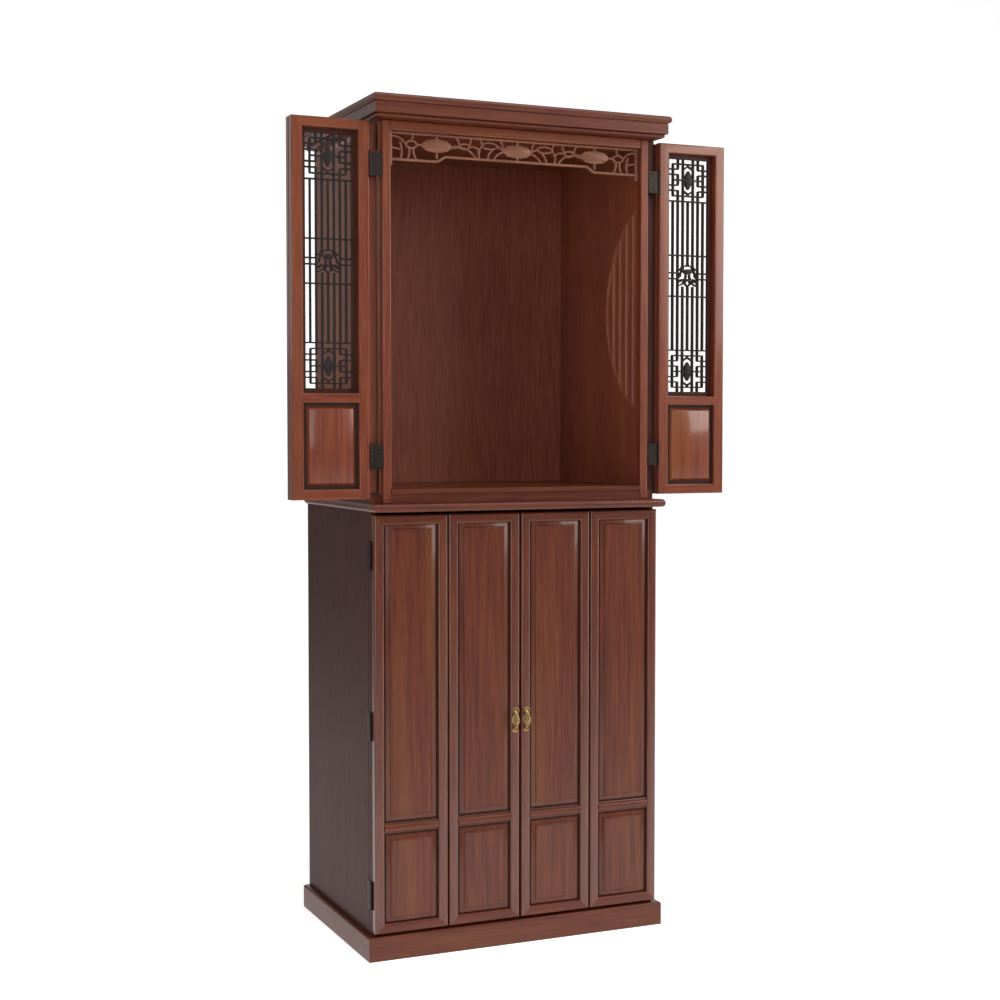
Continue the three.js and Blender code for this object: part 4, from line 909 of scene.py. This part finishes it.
def pull(side, body, look):
    # a lobed back plate, a bow that stands off it with a waist in its middle, and a pair of rings on top
    node = f"{side}_pull"
    x0, x1, y0, y1, z0, z1 = [v / mm for v in boxOf(node)]
    middle, height, half = (x0 + x1) / 2, z1 - z0, (x1 - x0) / 2
    along = np.linspace(0, 1, 41)
    width = half * (1 - look["lobe"] + look["lobe"] * np.cos(4 * math.pi * along))
    fromTip = np.minimum(along, 1 - along) / look["tip"]
    width = width * np.sqrt(np.clip(fromTip, look["tipShare"], 1))
    t = np.linspace(0, math.pi, 13)
    plateBack, rise = y1 * mm, look["plate"] * mm
    ripple = 1 + look["ripple"] * np.cos(2 * look["ripples"] * math.pi * along)[:, None] * np.sin(t)
    sectionX = middle * mm + width[:, None] * mm * np.cos(t)
    sectionY = plateBack - rise * np.sin(t) * ripple
    sectionZ = np.repeat(((z0 + height * along) * mm)[:, None], len(t), 1)
    points = np.stack([sectionX, sectionY, sectionZ], -1)
    parts = [(points, gridFaces(len(along), len(t), closeColumns=True, caps=True), 0)]

    # the bow: its section is an oval that narrows at the waist and swells into a bud below it
    share = np.linspace(0, 1, 33)
    reach = (y1 - y0 - look["bar"] / 2) * np.sin(math.pi * share)
    mean, waist, lean = look["bow"]
    bowHalf = half * (mean + waist * np.cos(4 * math.pi * share) + lean * np.cos(2 * math.pi * share))
    steps = 14
    turn = np.radians(np.arange(steps) * 360 / steps)
    buds = 1 + look["bud"] * np.cos(2 * look["buds"] * math.pi * share)[:, None]
    bowX = middle + bowHalf[:, None] * np.cos(turn) * buds
    bowY = (y1 - look["barBack"] - reach)[:, None] + look["bar"] / 2 * np.sin(turn)
    bowZ = (z0 + height * (look["foot"] + (1 - 2 * look["foot"]) * share))[:, None] + np.zeros(steps)
    points = np.stack([bowX, np.maximum(bowY, y0), bowZ], -1) * mm
    parts.append((points, gridFaces(len(share), steps, closeColumns=True, caps=True), 0))
    for sideways in (-1, 1):
        centre = [middle + sideways * look["ring"], z1 - look["ringDrop"]]
        ring = oval(look["ring"], look["ring"], 20) + centre
        parts.append((*stroke(ring, look["wire"], (y1 - look["ringOut"]) * mm, look["wireThick"],
                              look["wireCrown"], closed=True), 0))
    makePiece(f"{node}_cast", body, parts, [brass], [node], weld=False, sharp=50)


pull("left", "lower_left_inner_leaf", pullLook)
pull("right", "lower_right_inner_leaf", pullLook)
for place in ("top", "bottom"):
    softBoard(f"left_{place}_bolt", "left_inner_leaf", 0.6, darkSteel)
print("pulls and bolts: made")


# Camera, lights and floor

cameraLook = {"place": (-1.7595, -4.0968, 1.3037), "turn": 23.84, "tilt": -2.45, "lens": 60.94}
camera = bpy.data.objects.new("camera", bpy.data.cameras.new("camera"))
camera.data.lens = cameraLook["lens"]
camera.data.sensor_width = 36
camera.location = cameraLook["place"]
camera.rotation_euler = (math.radians(90 + cameraLook["tilt"]), 0, math.radians(-cameraLook["turn"]))
bpy.context.scene.collection.objects.link(camera)
bpy.context.scene.camera = camera

lights = {
    "key": {"place": (3.2, -3.2, 2.9), "aim": (0, -0.2, 1.0), "size": (2.0, 2.4), "power": 105,
            "colour": "#fff8f0"},
    "fill": {"place": (-1.4, -5.0, 2.2), "aim": (0, 0, 1.1), "size": (2.0, 2.0), "power": 46},
    "left strip": {"place": (-3.3, -2.3, 1.4), "aim": (0, -0.2, 1.1), "size": (0.9, 2.8), "power": 42,
                   "colour": "#fbfbff"},
    "right strip": {"place": (3.6, -0.9, 1.4), "aim": (0, -0.2, 1.1), "size": (0.8, 2.8), "power": 36,
                    "colour": "#fbfbff"},
    "top": {"place": (0.3, -1.6, 4.0), "aim": (0, 0, 1.0), "size": (2.6, 1.4), "power": 45},
    "rim": {"place": (-2.1, 3.6, 2.6), "aim": (-0.4, 0.2, 1.6), "size": (1.4, 2.0), "power": 5},
}
for name, look in lights.items():
    data = bpy.data.lights.new(name, "AREA")
    data.shape = "RECTANGLE"
    data.size, data.size_y = look["size"]
    data.energy = look["power"]
    data.color = toLinear(look.get("colour", "#ffffff"))[:3]
    lamp = bpy.data.objects.new(name, data)
    lamp.location = look["place"]
    direction = np.array(look["aim"]) - np.array(look["place"])
    lamp.rotation_euler = (math.atan2(math.hypot(direction[0], direction[1]), -direction[2]), 0,
                           math.atan2(direction[1], direction[0]) - math.pi / 2)
    bpy.context.scene.collection.objects.link(lamp)

world = bpy.data.worlds.new("studio")
bpy.context.scene.world = world
world.use_nodes = True
world.node_tree.nodes["Background"].inputs["Color"].default_value = toLinear("#fafafa")
world.node_tree.nodes["Background"].inputs["Strength"].default_value = 0.13

# A pale floor that sweeps up into a backdrop behind the cabinet and glows a little: a painted glow that
# stands in for light and also lights the cabinet; to the left and in front the glow fades out over a stretch
# of plain floor
sweepLook = {"left": -1.45, "slant": 0.125, "right": 14, "front": -1.25, "back": 9, "radius": 3, "height": 12,
             "fade": 1.3, "far": -9, "glow": 0.72}
front, back, radius, far = [sweepLook[key] for key in ("front", "back", "radius", "far")]
path = np.concatenate([[(far, 0), (front - sweepLook["fade"], 0), (front, 0)],
                       arc((back, radius), radius, 270, 360, 24), [(back + radius, sweepLook["height"])]])
leftEdge = sweepLook["left"] + sweepLook["slant"] * np.maximum(path[:, 0], front)
across = np.stack([np.full(len(path), far), leftEdge - sweepLook["fade"], leftEdge,
                   np.full(len(path), sweepLook["right"])], -1)
glow = np.zeros(across.shape)
glow[2:, 2:] = sweepLook["glow"]
floorPoints = np.stack([across, np.repeat(path[:, :1], 4, 1), np.repeat(path[:, 1:], 4, 1)], -1)
floorMesh = bpy.data.meshes.new("floor")
floorMesh.from_pydata(floorPoints.reshape(-1, 3).tolist(), [], gridFaces(len(path), 4))
floorMesh.shade_smooth()
floorMesh.attributes.new("glow", "FLOAT", "POINT").data.foreach_set("value", glow.ravel())
floorMaterial = newMaterial("pale cloth")
floorTree = floorMaterial.node_tree
floorGlow = addNode(floorTree, "ShaderNodeAttribute", {"attribute_name": "glow"})
floorShader = addNode(floorTree, "ShaderNodeBsdfPrincipled", {},
                      {"Base Color": toLinear("#f6f5f3"), "Roughness": 0.9,
                       "Emission Color": toLinear("#ffffff")},
                      {"Emission Strength": (floorGlow, "Fac")})
addNode(floorTree, "ShaderNodeOutputMaterial", {}, {}, {"Surface": (floorShader, "BSDF")})
floorMesh.materials.append(floorMaterial)
floor = bpy.data.objects.new("floor", floorMesh)
bpy.context.scene.collection.objects.link(floor)
bpy.context.scene.view_settings.view_transform = "Standard"
print("studio: made")
